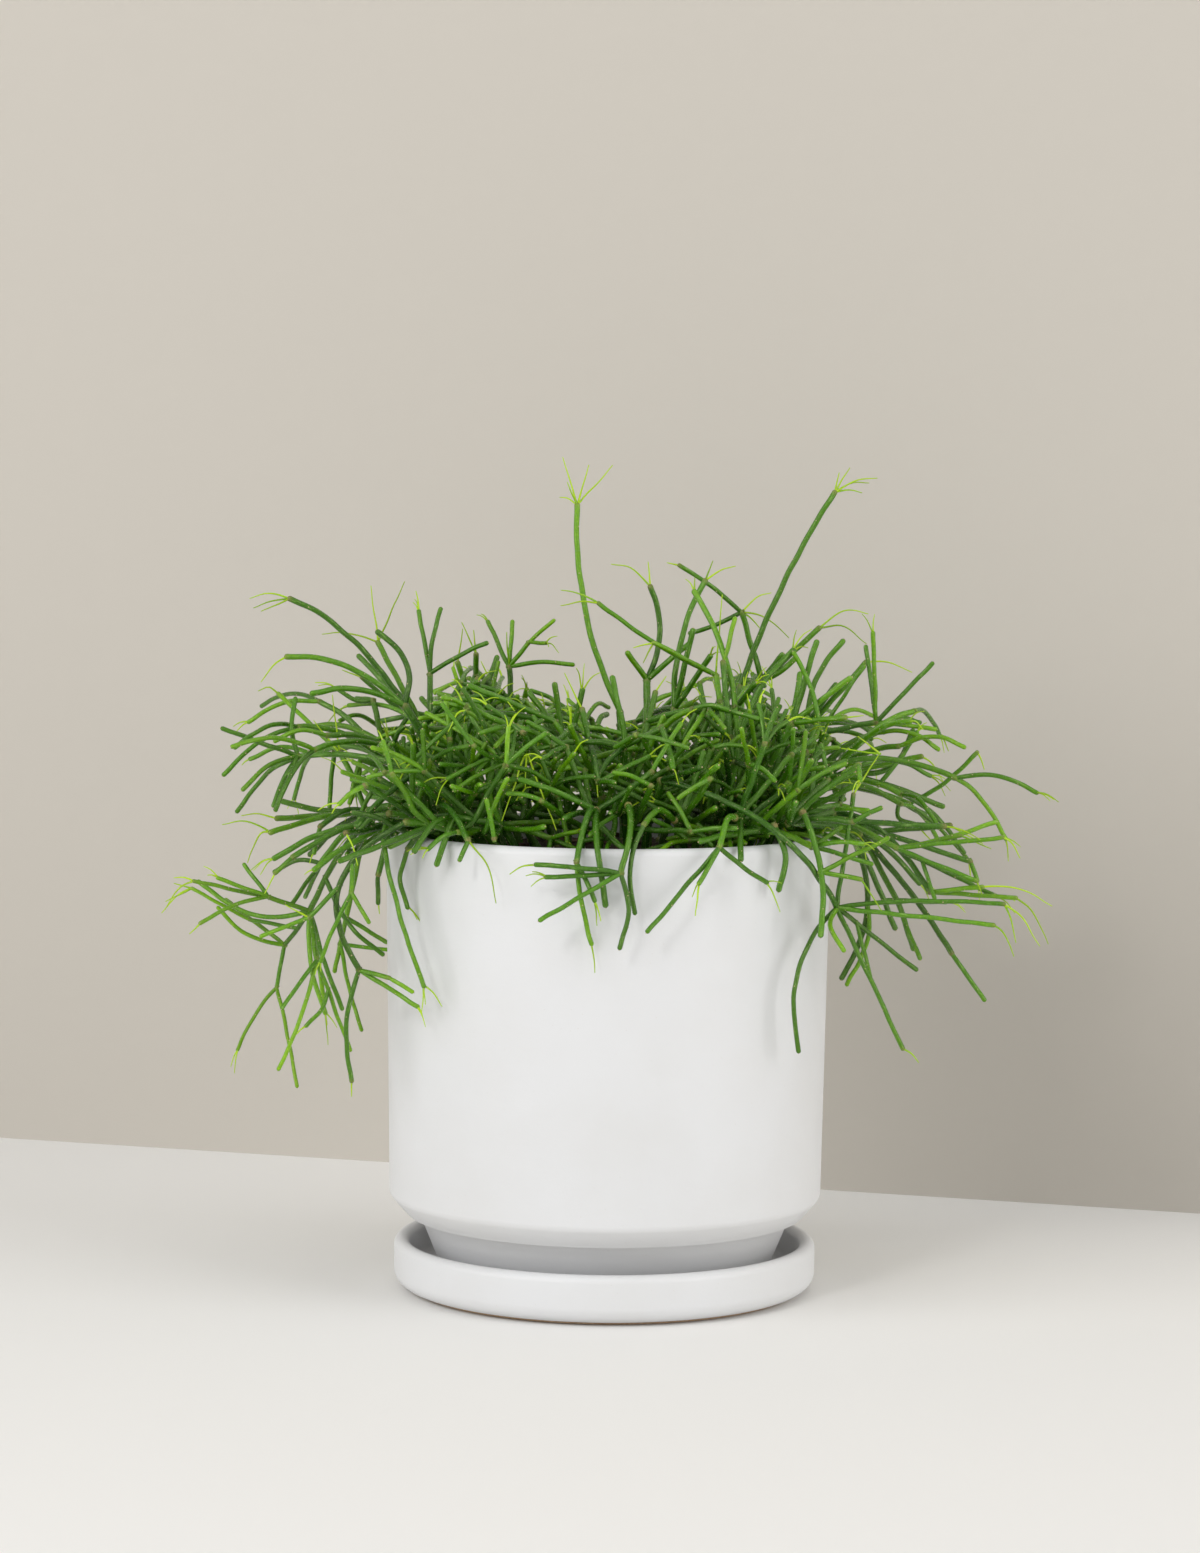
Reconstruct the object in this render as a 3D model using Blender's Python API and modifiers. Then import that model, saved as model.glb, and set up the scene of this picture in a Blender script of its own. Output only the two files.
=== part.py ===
"""Potted mistletoe cactus: a white ceramic planter on its saucer, potting soil and a crown of branching shoots.

The object stands on the plane z = 0, its origin is the centre of the saucer's underside, and -Y is its front.
Sizes are in millimetres and are turned into metres when a mesh is made.
"""

import math
import random

import bmesh
import bpy
import numpy as np

MM = 0.001

# Gap kept between pieces that rest on or in each other.
CLEARANCE = 0.3
TURN_STEPS = 40

# Planter: a straight-sided cup with a chamfer that steps in to a tapered foot.
POT_TOP_RADIUS = 89.0
POT_DRAFT = 2.2
POT_LOW_RADIUS = POT_TOP_RADIUS - POT_DRAFT
POT_WALL = 6.0
POT_HEIGHT = 178.1
CHAMFER_DROP = 8.0
CHAMFER_INSET = 7.3
CHAMFER_ROUND = 4.5
CHAMFER_FOOT_GAP = 23.7
FOOT_NECK_RADIUS = POT_LOW_RADIUS - CHAMFER_INSET - 5.0
FOOT_RADIUS = FOOT_NECK_RADIUS - 9.5
FOOT_RING_WIDTH = 7.0
FOOT_RING_HEIGHT = 3.0
POT_FLOOR = 7.0
DRAIN_RADIUS = 9.0

# Saucer: a low round tray with a rounded rim, a little narrower than the planter.
SAUCER_RADIUS = POT_TOP_RADIUS - 4.2
SAUCER_FOOT_RADIUS = SAUCER_RADIUS - 6.6
SAUCER_HEIGHT = 20.0
SAUCER_WALL = 6.3
SAUCER_FLOOR = 6.0
SAUCER_FOOT_HEIGHT = 1.0
SAUCER_FOOT_BEVEL = 0.4
SAUCER_HEEL = 6.5
SAUCER_FILLET = 4.0

# Soil: fills the planter to a little below the rim.
SOIL_BELOW_RIM = 10.5
SOIL_CROWN = 2.5
ROOT_DEPTH = 12.0
ROOT_COLLAR = 2.0
ROOT_RADIUS = 1.8
ROOT_PITCH = 6.8
POCKET_SIDES = 6
POCKET_SPARE = 0.15

# Stems: their radius by generation, and how much a young tip is thinner.
STEM_RADII = (1.65, 1.25, 1.0, 0.88, 0.8)
STEM_TAPER = 0.88
YOUNG_RADIUS = 0.45
YOUNG_TAPER = 0.55
STEM_GAP = 0.55
POT_GAP = 1.3
JOINT_DEPTH = 0.8
JOINT_OVERLAP = 0.3
STEM_STRAIGHTNESS = 0.8
STEM_SIDES = (4, 4, 3)
YOUNG_SIDES = 3
SECTION_TURN = 0.7
STEM_SPAN = 11.0
YOUNG_SPAN = 9.0

# Making room: how often the stems are moved, how far a push goes at once, and how it spreads along a stem.
ROOM_ROUNDS = 260
LAST_ROUNDS = 40
SEARCH_EVERY = 10
SEARCH_MARGIN = 6.0
PUSH_SHARE = 0.62
WALL_SHARE = 0.8
SMOOTHING = 0.35
WALL_SAMPLES = (0.25, 0.5, 0.75)
ROOT_ROUNDS = 200

POT_BASE = SAUCER_FLOOR + CLEARANCE
RIM_TOP = POT_BASE + POT_HEIGHT
CHAMFER_BOTTOM = POT_BASE + CHAMFER_FOOT_GAP
CHAMFER_TOP = CHAMFER_BOTTOM + CHAMFER_DROP
SOIL_TOP = RIM_TOP - SOIL_BELOW_RIM

# The shoots' points are drawn for a rim of this height and radius, and the crown follows the planter's own rim.
DRAWN_RIM_TOP = 184.4
DRAWN_RIM_RADIUS = 89.0
CROWN_LIFT = RIM_TOP - DRAWN_RIM_TOP
CROWN_SPREAD = POT_TOP_RADIUS / DRAWN_RIM_RADIUS


# ---------------------------------------------------------------------------------------------------------
# The plant: every shoot is a tree of stems, written as the points where its stems end
# ---------------------------------------------------------------------------------------------------------


class Stem:
    """A stem from the end of the one before it to a point, and the stems that grow from that point."""

    def __init__(self, end, kids, arch, via, young):
        self.end = end
        self.kids = kids
        self.arch = arch
        self.via = via
        self.young = young


def stem(x, y, z, *kids, arch=0.0, via=None):
    """A grown stem that ends at x, y, z. arch lifts its middle; via is a point that it passes through."""
    return Stem((x, y, z), kids, arch, via, young=False)


def tip(x, y, z, *kids, arch=0.0, via=None):
    """A thin young growth that ends at x, y, z."""
    return Stem((x, y, z), kids, arch, via, young=True)


# Each shoot: its root's place in the soil, how far it leans back from the points given, and its stems.
SHOOTS = {
    # Tall shoots that stand above the crown.
    "tall_centre": ((10, -8), 8, stem(4, 0, 231, stem(
        -14, 4, 314, tip(-20, 6, 333), tip(-18, 0, 323), tip(-9.5, 2, 330), tip(0, 8, 330), tip(-21, 8, 317, arch=1),
        via=(-10, 2, 270)))),
    "tall_right": ((40, 26), 8, stem(53, 26, 240, stem(
        90, 20, 320, tip(96, 20, 330), tip(92, 25, 328), tip(107, 18, 326, arch=2), tip(104, 23, 324, arch=2),
        tip(101, 20, 320, arch=1), via=(68, 23, 279)))),
    # Shoots of the left side.
    "left_arch": ((-42, 12), 22, stem(
        -72, 8, 215,
        stem(-130, 2, 275, tip(-146, 0, 275, arch=2), tip(-145, 6, 271, arch=1), tip(-141, -4, 270), arch=10),
        stem(-95, 14, 257, tip(-98, 14, 280), tip(-84, 8, 282), tip(-118, 18, 260, arch=2)),
        stem(-103, 26, 251, arch=2))),
    "left_fan": ((-46, -4), -6, stem(
        -81, -2, 234,
        stem(-128, -6, 253, tip(-138, -8, 243, arch=2), arch=6),
        stem(-117, -14, 239, arch=4),
        stem(-92, 0, 263, via=(-80, 0, 249)))),
    "left_whorl": ((-26, -30), -6, stem(
        -74, -38, 210,
        stem(-122, -28, 215,
             stem(-151, -34, 226), stem(-124, -16, 237, via=(-125, -22, 226)), stem(-142, -44, 203, arch=3),
             stem(-147, -14, 192, arch=4), stem(-131, -34, 196, arch=2), stem(-124, -44, 209),
             arch=3),
        stem(-97, -58, 190, arch=2), arch=6)),
    "left_cross": ((-52, -22), 8, stem(
        -96, -24, 192,
        stem(-107, -18, 215,
             stem(-132, -12, 238, tip(-140, -12, 239, arch=2)), tip(-117, -24, 228), tip(-110, -20, 238),
             arch=1),
        stem(-114, -30, 186, stem(-116, -34, 176), arch=3), arch=8)),
    "left_elbow": ((-50, 6), 28, stem(
        -91, -6, 214,
        stem(-96, -4, 233, stem(-110, -2, 237, arch=-2), stem(-103, 4, 233)),
        stem(-112, 2, 212, stem(-114, 4, 187, arch=3), arch=2), arch=6)),
    "left_low": ((-55, -8), 0, stem(
        -94, -10, 190,
        stem(-131, -6, 193, arch=-2),
        stem(-132, -16, 188, tip(-146, -16, 189, arch=1.5)),
        stem(-134, -24, 183, tip(-153, -24, 186, arch=3), tip(-143, -24, 171, arch=5), arch=2),
        stem(-120, -4, 173, arch=4), arch=6)),
    "left_skirt": ((-50, -34), 0, stem(
        -90, -44, 190,
        stem(-132, -48, 177, arch=4), stem(-124, -56, 177, arch=3), stem(-116, -62, 175, arch=2),
        stem(-104, -66, 190, tip(-99, -70, 178, arch=2)), arch=6)),
    "left_fall": ((-44, -46), 0, stem(
        -84, -54, 194,
        stem(-117, -32, 154,
             stem(-133, -38, 160,
                  stem(-143, -32, 172), stem(-152, -46, 168), stem(-162, -40, 166, tip(-173, -42, 155, arch=3),
                                                                   tip(-170, -38, 167, arch=1)),
                  stem(-158, -54, 151, tip(-162, -55, 147), arch=2)),
             stem(-162, -20, 164, arch=-7),
             stem(-128, -20, 139,
                  stem(-152, -12, 156),
                  stem(-131, -20, 122, stem(-147, -14, 96, arch=3), stem(-122, -30, 84, via=(-127, -24, 106)))),
             stem(-110, -42, 115, via=(-116, -38, 134)),
             stem(-113, -50, 137, stem(-125, -66, 120), stem(-127, -58, 95, via=(-117, -56, 120)),
                  stem(-100, -46, 101)),
             arch=9), arch=4)),
    "left_fall_front": ((-38, -52), 0, stem(
        -78, -64, 192,
        stem(-96, -58, 134, stem(-73, -66, 121), stem(-99, -54, 90, tip(-99, -54, 84), via=(-101, -56, 112)),
             stem(-84, -66, 132, stem(-75, -68, 127)), via=(-104, -64, 165)), arch=4)),
    "left_fall_back": ((-58, 4), 24, stem(
        -93, 6, 188,
        stem(-117, 0, 167, stem(-136, 4, 163, arch=3), stem(-128, -8, 151), stem(-124, 12, 152), arch=4),
        stem(-107, 10, 144, stem(-91, 18, 133), stem(-112, 16, 121), arch=9), arch=6)),
    # Shoots that drape over the front of the rim.
    "front_drape_left": ((-34, -50), 0, stem(
        -60, -64, 192,
        stem(-78, -54, 178, stem(-78, -52, 155, via=(-81, -52, 166)), arch=5),
        stem(-66, -70, 174), stem(-74, -82, 180, arch=4), arch=3)),
    "front_thread_left": ((-60, -30), 0, stem(
        -84, -44, 194,
        stem(-88, -58, 184, stem(-71, -70, 128, via=(-81, -66, 156)), arch=2),
        stem(-90, -48, 168, stem(-90, -48, 157)), arch=3)),
    "front_arc_left": ((-48, -40), 0, stem(
        -66, -58, 196, stem(-54, -80, 184, tip(-43, -86, 161, via=(-46, -86, 174)), stem(-57, -84, 177), arch=3))),
    "front_fork_a": ((-12, -44), 0, stem(
        -5, -68, 197,
        stem(-12, -93, 179, stem(-6, -92, 148, via=(-10, -94, 164)), stem(-5, -97, 165, arch=1), arch=7),
        stem(-1, -92, 163, via=(-4, -92, 184)),
        stem(-34, -74, 209, arch=1), arch=5)),
    "front_fork_b": ((10, -46), 0, stem(
        7, -74, 199,
        stem(4, -94, 174, stem(4, -95, 146, via=(7, -95, 162)), stem(-28, -99, 177), stem(-24, -96, 173),
             stem(-26, -102, 157), via=(7, -91, 187)), arch=5)),
    "front_hook": ((30, -38), 0, stem(
        25, -66, 193, stem(13, -88, 193, stem(10, -92, 160, via=(8, -93, 176)), arch=5), arch=4)),
    "front_fork_c": ((56, -30), 0, stem(
        48, -72, 195,
        stem(42, -86, 185, stem(34, -94, 172), stem(15, -98, 154), stem(60, -88, 172, arch=-1), arch=5), arch=6)),
    "front_stub_right": ((50, -44), 0, stem(64, -66, 191, stem(66, -70, 167, via=(68, -70, 182)), arch=3)),
    "front_right_fall": ((12, -28), 0, stem(
        20, -50, 207,
        stem(89, -50, 159,
             stem(95, -46, 203, tip(105, -44, 219, tip(90, -46, 221), tip(96, -52, 226))),
             stem(154, -48, 161, tip(159, -48, 146, arch=2), tip(168, -50, 145, arch=3), arch=2),
             stem(149, -60, 154, tip(157, -60, 142, arch=3)),
             stem(121, -40, 134), stem(115, -56, 105, tip(121, -58, 100, arch=1)),
             stem(74, -66, 105, via=(73, -66, 134)), stem(91, -64, 144, via=(86, -61, 152)),
             via=(62, -71, 191)))),
    "right_drop": ((60, -36), 0, stem(74, -62, 196, stem(81, -66, 149, via=(80, -64, 178)), arch=2)),
    # Shoots of the right side.
    "right_spray": ((58, -22), -6, stem(
        94, -28, 191,
        stem(113, -30, 181,
             stem(152, -22, 191, arch=-1), stem(154, -32, 186, tip(161, -32, 178, arch=2)),
             stem(144, -36, 169, tip(146, -38, 164)), stem(153, -26, 162)),
        stem(131, -34, 190, tip(145, -34, 185, arch=1)), arch=5)),
    "right_reach": ((46, -14), 0, stem(
        90, -12, 192,
        stem(126, -36, 164, stem(146, -42, 167, tip(173, -44, 160, arch=3)),
             stem(160, -34, 162, tip(173, -34, 144, arch=4)), arch=8), arch=6)),
    "right_long": ((56, -8), 0, stem(
        100, -16, 184,
        stem(136, -24, 138, stem(149, -26, 120), via=(116, -20, 166)),
        stem(122, -14, 139, via=(113, -16, 162)), arch=8)),
    "right_low": ((60, 0), 24, stem(
        96, 4, 186,
        stem(117, -2, 143, via=(108, 0, 164)), stem(96, 2, 122, via=(106, 4, 150)),
        stem(148, 6, 170, stem(151, 6, 162)), stem(128, 14, 160, arch=3), arch=7)),
    "right_fork": ((46, 4), 14, stem(
        78, -2, 221,
        stem(107, -5, 227,
             stem(129, -8, 251), stem(131, -2, 224), stem(105, -8, 263), stem(103, 4, 257)), arch=4)),
    "right_high": ((38, 14), 30, stem(
        63, 14, 243,
        stem(86, 12, 265, tip(106, 12, 271, arch=4), tip(105, 6, 259, arch=4)),
        stem(71, 8, 254),
        stem(54, 12, 271, stem(28, 8, 290, tip(23, 8, 291), via=(42, 10, 281)), stem(33, 18, 262, arch=-1),
             tip(66, 14, 279, arch=2), tip(73, 4, 261, arch=3), tip(62, 16, 264, arch=1)))),
    "right_comb": ((52, 14), 42, stem(
        82, 18, 222,
        stem(97, 24, 258, via=(86, 22, 242)), stem(94, 14, 240),
        stem(106, 16, 250, tip(125, 16, 246, arch=2)), arch=3)),
    "right_brush": ((48, -8), -8, stem(
        72, -14, 229,
        stem(94, -20, 247), stem(81, -16, 261), stem(75, -8, 248), stem(92, -26, 232, tip(99, -28, 233)))),
    "right_mid": ((56, 10), 16, stem(
        95, 6, 209,
        stem(125, 2, 216, tip(134, 2, 206, arch=2)), stem(122, 10, 226, via=(114, 8, 212)),
        stem(135, 14, 195, via=(117, 10, 202)), arch=5)),
    "right_edge": ((60, 12), 40, stem(
        100, 16, 198, stem(124, 4, 192, stem(151, -2, 214, tip(154, -2, 207, arch=1), via=(138, 2, 201)), arch=1),
        stem(132, 24, 186, arch=2), arch=7)),
    # Shoots of the crown's middle.
    "crown_fork": ((16, 8), 20, stem(
        15, 10, 243,
        stem(16, 12, 281, tip(0, 12, 290, arch=3), tip(15, 14, 291), via=(20, 12, 264)),
        stem(7, 6, 254), stem(32, 6, 258))),
    "crown_reach": ((34, -6), 0, stem(
        47, -12, 216,
        stem(42, -6, 247,
             stem(-5, 0, 275, tip(-20, 2, 280, arch=1), tip(-20, -4, 274, arch=1), via=(20, -3, 258)),
             stem(17, -16, 260, tip(9, -17, 258), tip(13, -14, 252)), tip(44, -10, 279)))),
    "crown_pair": ((28, 2), 12, stem(
        26, 4, 232,
        stem(38, 8, 284, tip(41, 8, 292), tip(50, 6, 290, arch=1), via=(29, 6, 262)),
        stem(33, -2, 264), stem(40, -8, 254))),
    "crown_stand": ((40, -20), 0, stem(
        49, -26, 214, stem(45, -22, 253, tip(50, -22, 270)), stem(32, -4, 280, via=(43, -16, 258)),
        stem(71, -22, 258, via=(58, -26, 243)))),
    "crown_candelabra": ((-30, 6), 26, stem(
        -39, 8, 224,
        stem(-41, 8, 248,
             stem(-50, 12, 266), stem(-40, 14, 266), stem(-33, 6, 258, stem(-23, 5, 267), stem(-26, -1, 258)),
             stem(-15, 6, 249, arch=1.5), tip(-42, 2, 262)))),
    "crown_left": ((-42, -8), 16, stem(
        -73, -10, 213,
        stem(-73, -8, 245,
             stem(-69, -6, 271, via=(-72, -8, 259)), stem(-78, -2, 270), stem(-50, -18, 258, arch=1)))),
    "crown_left_back": ((-36, 22), 34, stem(
        -56, 22, 226,
        stem(-64, 18, 248, tip(-62, 18, 262)), stem(-56, 10, 252, tip(-57, 8, 262), tip(-62, 12, 265)),
        stem(-48, 26, 250))),
    "crown_bridge": ((8, -24), 0, stem(
        6, -40, 220,
        stem(-32, -56, 219,
             stem(-55, -62, 235, tip(-62, -64, 227, arch=3)), tip(-41, -66, 193), tip(-32, -70, 206),
             tip(-20, -70, 190), stem(-62, -66, 209, arch=2), stem(-59, -72, 205, arch=1), arch=3),
        stem(21, -46, 228), arch=2)),
    "crown_front": ((-4, -26), 0, stem(
        -3, -34, 200, stem(-11, -30, 234, tip(-18, -30, 248)), stem(-22, -28, 229))),
    "crown_low": ((-16, -12), 0, stem(
        -17, -14, 214, stem(-32, -8, 239, arch=2), stem(-22, -16, 243), stem(-11, -18, 241))),
    "crown_thick": ((10, -30), 0, stem(9, -30, 206, stem(0, -26, 246), stem(20, -34, 231), stem(17, -18, 240))),
}

# More shoots close the crown's middle and back by rule: how many, how high they may grow, and their seed.
FILL_SHOOTS = 14
FILL_TOP = 226.0
FILL_LENGTH = 50.0
FILL_SEED = 5


def fill_shoots():
    """Shoots that arch out over the back of the rim, with every fourth one nearer to the middle."""
    rng = random.Random(FILL_SEED)
    made = {}
    for number in range(FILL_SHOOTS):
        inner = number % 4 == 3
        turn = math.radians(-12 + 204 * number / (FILL_SHOOTS - 1))
        spread = (18 if inner else 50) + rng.uniform(-6, 8)
        root = (spread * math.cos(turn), spread * math.sin(turn) + 4)
        lean = (0.3 if inner else 0.55) + rng.uniform(0.0, 0.35)
        start = (*root, SOIL_TOP - CROWN_LIFT)
        first = fork(rng, start, turn + rng.uniform(-0.25, 0.25), lean, FILL_LENGTH, 0)
        made[f"fill_{number + 1:02d}"] = (root, 0, first)
    return made


def fork(rng, start, heading, lean, length, level):
    """A stem that leaves start at a heading and a lean from the vertical, and the stems that fork from it."""
    length *= rng.uniform(0.8, 1.15)
    flat = length * math.sin(lean)
    end = (
        start[0] + flat * math.cos(heading),
        start[1] + flat * math.sin(heading),
        min(start[2] + length * math.cos(lean), FILL_TOP + rng.uniform(-8.0, 8.0)),
    )
    count = (3, rng.choice((0, 1, 2)), 0)[level]
    turn = rng.uniform(0.0, math.tau)
    kids = tuple(
        fork(rng, end, heading + 0.8 * math.sin(turn + math.tau * k / count),
             min(lean + 0.45 + 0.45 * math.cos(turn + math.tau * k / count), 2.4), length * 0.85, level + 1)
        for k in range(count)
    )
    return Stem(end, kids, 4.0 * min(lean, 1.0), None, young=False)


# ---------------------------------------------------------------------------------------------------------
# Growing room: the stems' centre lines, pushed apart until each has its own space
# ---------------------------------------------------------------------------------------------------------


class Branches:
    """The points of every stem's centre line, with a shared point where one stem grows from another."""

    def __init__(self):
        self.points = []
        self.lines = []
        self.pinned = []

    def add_point(self, place, pinned=False):
        self.points.append(place)
        self.pinned.append(pinned)
        return len(self.points) - 1

    def add_shoot(self, shoot, root, back, first):
        """The root stands upright in the soil, and the rest grows from its top and leans back as it goes."""
        foot = self.add_point((*root, SOIL_TOP - ROOT_DEPTH), pinned=True)
        collar = self.add_point((*root, SOIL_TOP + ROOT_COLLAR), pinned=True)
        self.lines.append((shoot, 0, False, [foot, collar]))
        self.add_stem(shoot, collar, first, 0, np.array((0.0, float(back), 0.0)))

    def add_stem(self, shoot, start, grown, level, shift):
        a, c = np.array(self.points[start], float), crown_place(grown.end) + shift
        if grown.via is None:
            middle, at = (a + c) / 2 + np.array((0.0, 0.0, grown.arch)), 0.5
        else:
            middle = crown_place(grown.via) + shift
            before, after = np.linalg.norm(middle - a), np.linalg.norm(c - middle)
            at = before / (before + after)
        bend = (middle - (1 - at) ** 2 * a - at**2 * c) / (2 * at * (1 - at))
        spans = max(2, min(7, round(np.linalg.norm(c - a) / (YOUNG_SPAN if grown.young else STEM_SPAN))))
        line = [start]
        for step in range(1, spans + 1):
            t = step / spans
            place = (1 - t) ** 2 * a + 2 * t * (1 - t) * bend + t**2 * c
            line.append(self.add_point(tuple(place)))
        self.lines.append((shoot, level, grown.young, line))
        for kid in grown.kids:
            self.add_stem(shoot, line[-1], kid, level + 1, shift)


def crown_place(point):
    """Where a point of the drawn crown is over the planter's own rim."""
    x, y, z = point
    return np.array((x * CROWN_SPREAD, y * CROWN_SPREAD, z + CROWN_LIFT))


def spread_roots(shoots):
    """Moves the shoots' roots apart in the soil until each has room for its pocket."""
    roots = np.array([root for root, _, _ in shoots.values()], float) * CROWN_SPREAD
    limit = POT_TOP_RADIUS - POT_WALL - ROOT_PITCH
    for _ in range(ROOT_ROUNDS):
        apart = roots[:, None, :] - roots[None, :, :]
        away = np.linalg.norm(apart, axis=2) + np.eye(len(roots)) * 2 * POT_TOP_RADIUS
        short = np.maximum(ROOT_PITCH - away, 0.0)
        roots += (apart / away[:, :, None] * short[:, :, None]).sum(axis=1) * 0.5
        rho = np.linalg.norm(roots, axis=1)
        roots *= np.minimum(limit / np.maximum(rho, 1e-6), 1.0)[:, None]
    return {name: (tuple(root), *rest) for (name, (_, *rest)), root in zip(shoots.items(), roots)}


def stem_radius(level, young):
    return YOUNG_RADIUS if young else STEM_RADII[min(level, len(STEM_RADII) - 1)]


def closest(p1, q1, p2, q2):
    """Where two sets of straight pieces come nearest, as shares s and t of their lengths."""
    d1, d2, r = q1 - p1, q2 - p2, p1 - p2
    a = np.einsum("ij,ij->i", d1, d1)
    e = np.einsum("ij,ij->i", d2, d2)
    b = np.einsum("ij,ij->i", d1, d2)
    c = np.einsum("ij,ij->i", d1, r)
    f = np.einsum("ij,ij->i", d2, r)
    s = np.clip((b * f - c * e) / np.maximum(a * e - b * b, 1e-9), 0, 1)
    t = np.clip((b * s + f) / np.maximum(e, 1e-9), 0, 1)
    s = np.clip((b * t - c) / np.maximum(a, 1e-9), 0, 1)
    return s, t


def pot_push(places, radii):
    """How far each place has to move to clear the planter's wall and lip, and the soil."""
    push = np.zeros_like(places)
    rho = np.hypot(places[:, 0], places[:, 1])
    half = POT_WALL / 2
    middle = POT_TOP_RADIUS - half
    below = np.minimum(places[:, 2] - (RIM_TOP - half), 0.0)
    middle = middle + below * (POT_TOP_RADIUS - POT_LOW_RADIUS) / (RIM_TOP - CHAMFER_TOP)
    across, over = rho - middle, np.maximum(places[:, 2] - (RIM_TOP - half), 0.0)
    away = np.maximum(np.hypot(across, over), 1e-6)
    short = np.maximum(half + radii + POT_GAP - away, 0.0)
    outward = places[:, :2] / np.maximum(rho, 1e-6)[:, None]
    push[:, :2] += outward * (short * across / away)[:, None]
    push[:, 2] += short * over / away
    in_pot = rho < middle
    soil = SOIL_TOP + SOIL_CROWN + radii + POT_GAP
    push[:, 2] += np.where(in_pot, np.maximum(soil - places[:, 2], 0.0), 0.0)
    return push


def give_room(branches):
    """Moves the stems' points apart, smoothly along each stem, until no two stems overlap."""
    places = np.array(branches.points, float)
    rest = places.copy()
    pinned = np.array(branches.pinned)
    edges, radii, owner = [], [], []
    for number, (shoot, level, young, line) in enumerate(branches.lines):
        for a, b in zip(line, line[1:]):
            edges.append((a, b))
            radii.append(stem_radius(level, young))
            owner.append(number)
    edges, radii, owner = np.array(edges), np.array(radii), np.array(owner)
    fixed = pinned[edges].all(axis=1)
    point_radius = np.zeros(len(places))
    np.maximum.at(point_radius, edges.ravel(), np.repeat(radii, 2))
    degree = np.zeros(len(places))
    np.add.at(degree, edges.ravel(), 1.0)
    first, second = np.triu_indices(len(edges), 1)
    joined = (edges[first][:, :, None] == edges[second][:, None, :]).any(axis=(1, 2))
    same = owner[first] == owner[second]
    keep = ~(joined | same | (fixed[first] & fixed[second]))
    first, second = first[keep], second[keep]
    for turn in range(ROOM_ROUNDS):
        if turn % SEARCH_EVERY == 0:
            a, b = places[edges[:, 0]], places[edges[:, 1]]
            centre, reach = (a + b) / 2, np.linalg.norm(b - a, axis=1) / 2 + radii
            gap = np.linalg.norm(centre[first] - centre[second], axis=1)
            near = gap < reach[first] + reach[second] + SEARCH_MARGIN
            one, two = first[near], second[near]
        a, b = edges[one], edges[two]
        s, t = closest(places[a[:, 0]], places[a[:, 1]], places[b[:, 0]], places[b[:, 1]])
        p = places[a[:, 0]] * (1 - s)[:, None] + places[a[:, 1]] * s[:, None]
        q = places[b[:, 0]] * (1 - t)[:, None] + places[b[:, 1]] * t[:, None]
        apart = p - q
        away = np.linalg.norm(apart, axis=1)
        short = radii[one] + radii[two] + STEM_GAP - away
        hit = short > 0
        move, share = np.zeros_like(places), np.zeros(len(places))
        side = np.cross(places[a[:, 1]] - places[a[:, 0]], places[b[:, 1]] - places[b[:, 0]])
        side /= np.maximum(np.linalg.norm(side, axis=1), 1e-6)[:, None]
        flip = np.where(np.einsum("ij,ij->i", side, apart) < 0, -1.0, 1.0)[:, None]
        push = np.where((away > 0.4)[:, None], apart / np.maximum(away, 1e-6)[:, None], side * flip)
        push = push * (np.maximum(short, 0) * PUSH_SHARE)[:, None]
        for ends, along, sign in ((a, s, 1.0), (b, t, -1.0)):
            for k, part in ((0, 1 - along), (1, along)):
                w = part * hit
                np.add.at(move, ends[:, k], sign * push * w[:, None])
                np.add.at(share, ends[:, k], w)
        move /= np.maximum(share, 1.0)[:, None]
        places += move * ~pinned[:, None]
        wall = pot_push(places, point_radius)
        for share in WALL_SAMPLES:
            lift = pot_push(places[edges[:, 0]] * (1 - share) + places[edges[:, 1]] * share, radii)
            np.add.at(wall, edges[:, 0], lift * (1 - share))
            np.add.at(wall, edges[:, 1], lift * share)
        places += wall * ~pinned[:, None] * WALL_SHARE
        if turn < ROOM_ROUNDS - LAST_ROUNDS:
            drift = places - rest
            around = np.zeros_like(places)
            np.add.at(around, edges[:, 0], drift[edges[:, 1]])
            np.add.at(around, edges[:, 1], drift[edges[:, 0]])
            drift += SMOOTHING * (around / degree[:, None] - drift)
            drift[pinned] = 0.0
            places = rest + drift
    return places, int(hit.sum()), float(short.max())


# ---------------------------------------------------------------------------------------------------------
# Solids
# ---------------------------------------------------------------------------------------------------------


def material(name, colour, roughness, metallic=0.0):
    made = bpy.data.materials.new(name)
    made.use_nodes = True
    shader = made.node_tree.nodes["Principled BSDF"]
    shader.inputs["Base Color"].default_value = (*colour, 1.0)
    shader.inputs["Roughness"].default_value = roughness
    shader.inputs["Metallic"].default_value = metallic
    return made


def collection(name):
    made = bpy.data.collections.new(name)
    bpy.context.scene.collection.children.link(made)
    return made


def add_object(name, mesh, group, finish=None):
    obj = bpy.data.objects.new(name, mesh)
    group.objects.link(obj)
    if finish:
        mesh.materials.clear()
        mesh.materials.append(finish)
    return obj


def arc(centre, radius, start, end, count):
    """count + 1 points of a circle in the profile's plane, from one angle to the other, in degrees."""
    return [
        (centre[0] + radius * math.cos(math.radians(start + (end - start) * k / count)),
         centre[1] + radius * math.sin(math.radians(start + (end - start) * k / count)))
        for k in range(count + 1)
    ]


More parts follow.
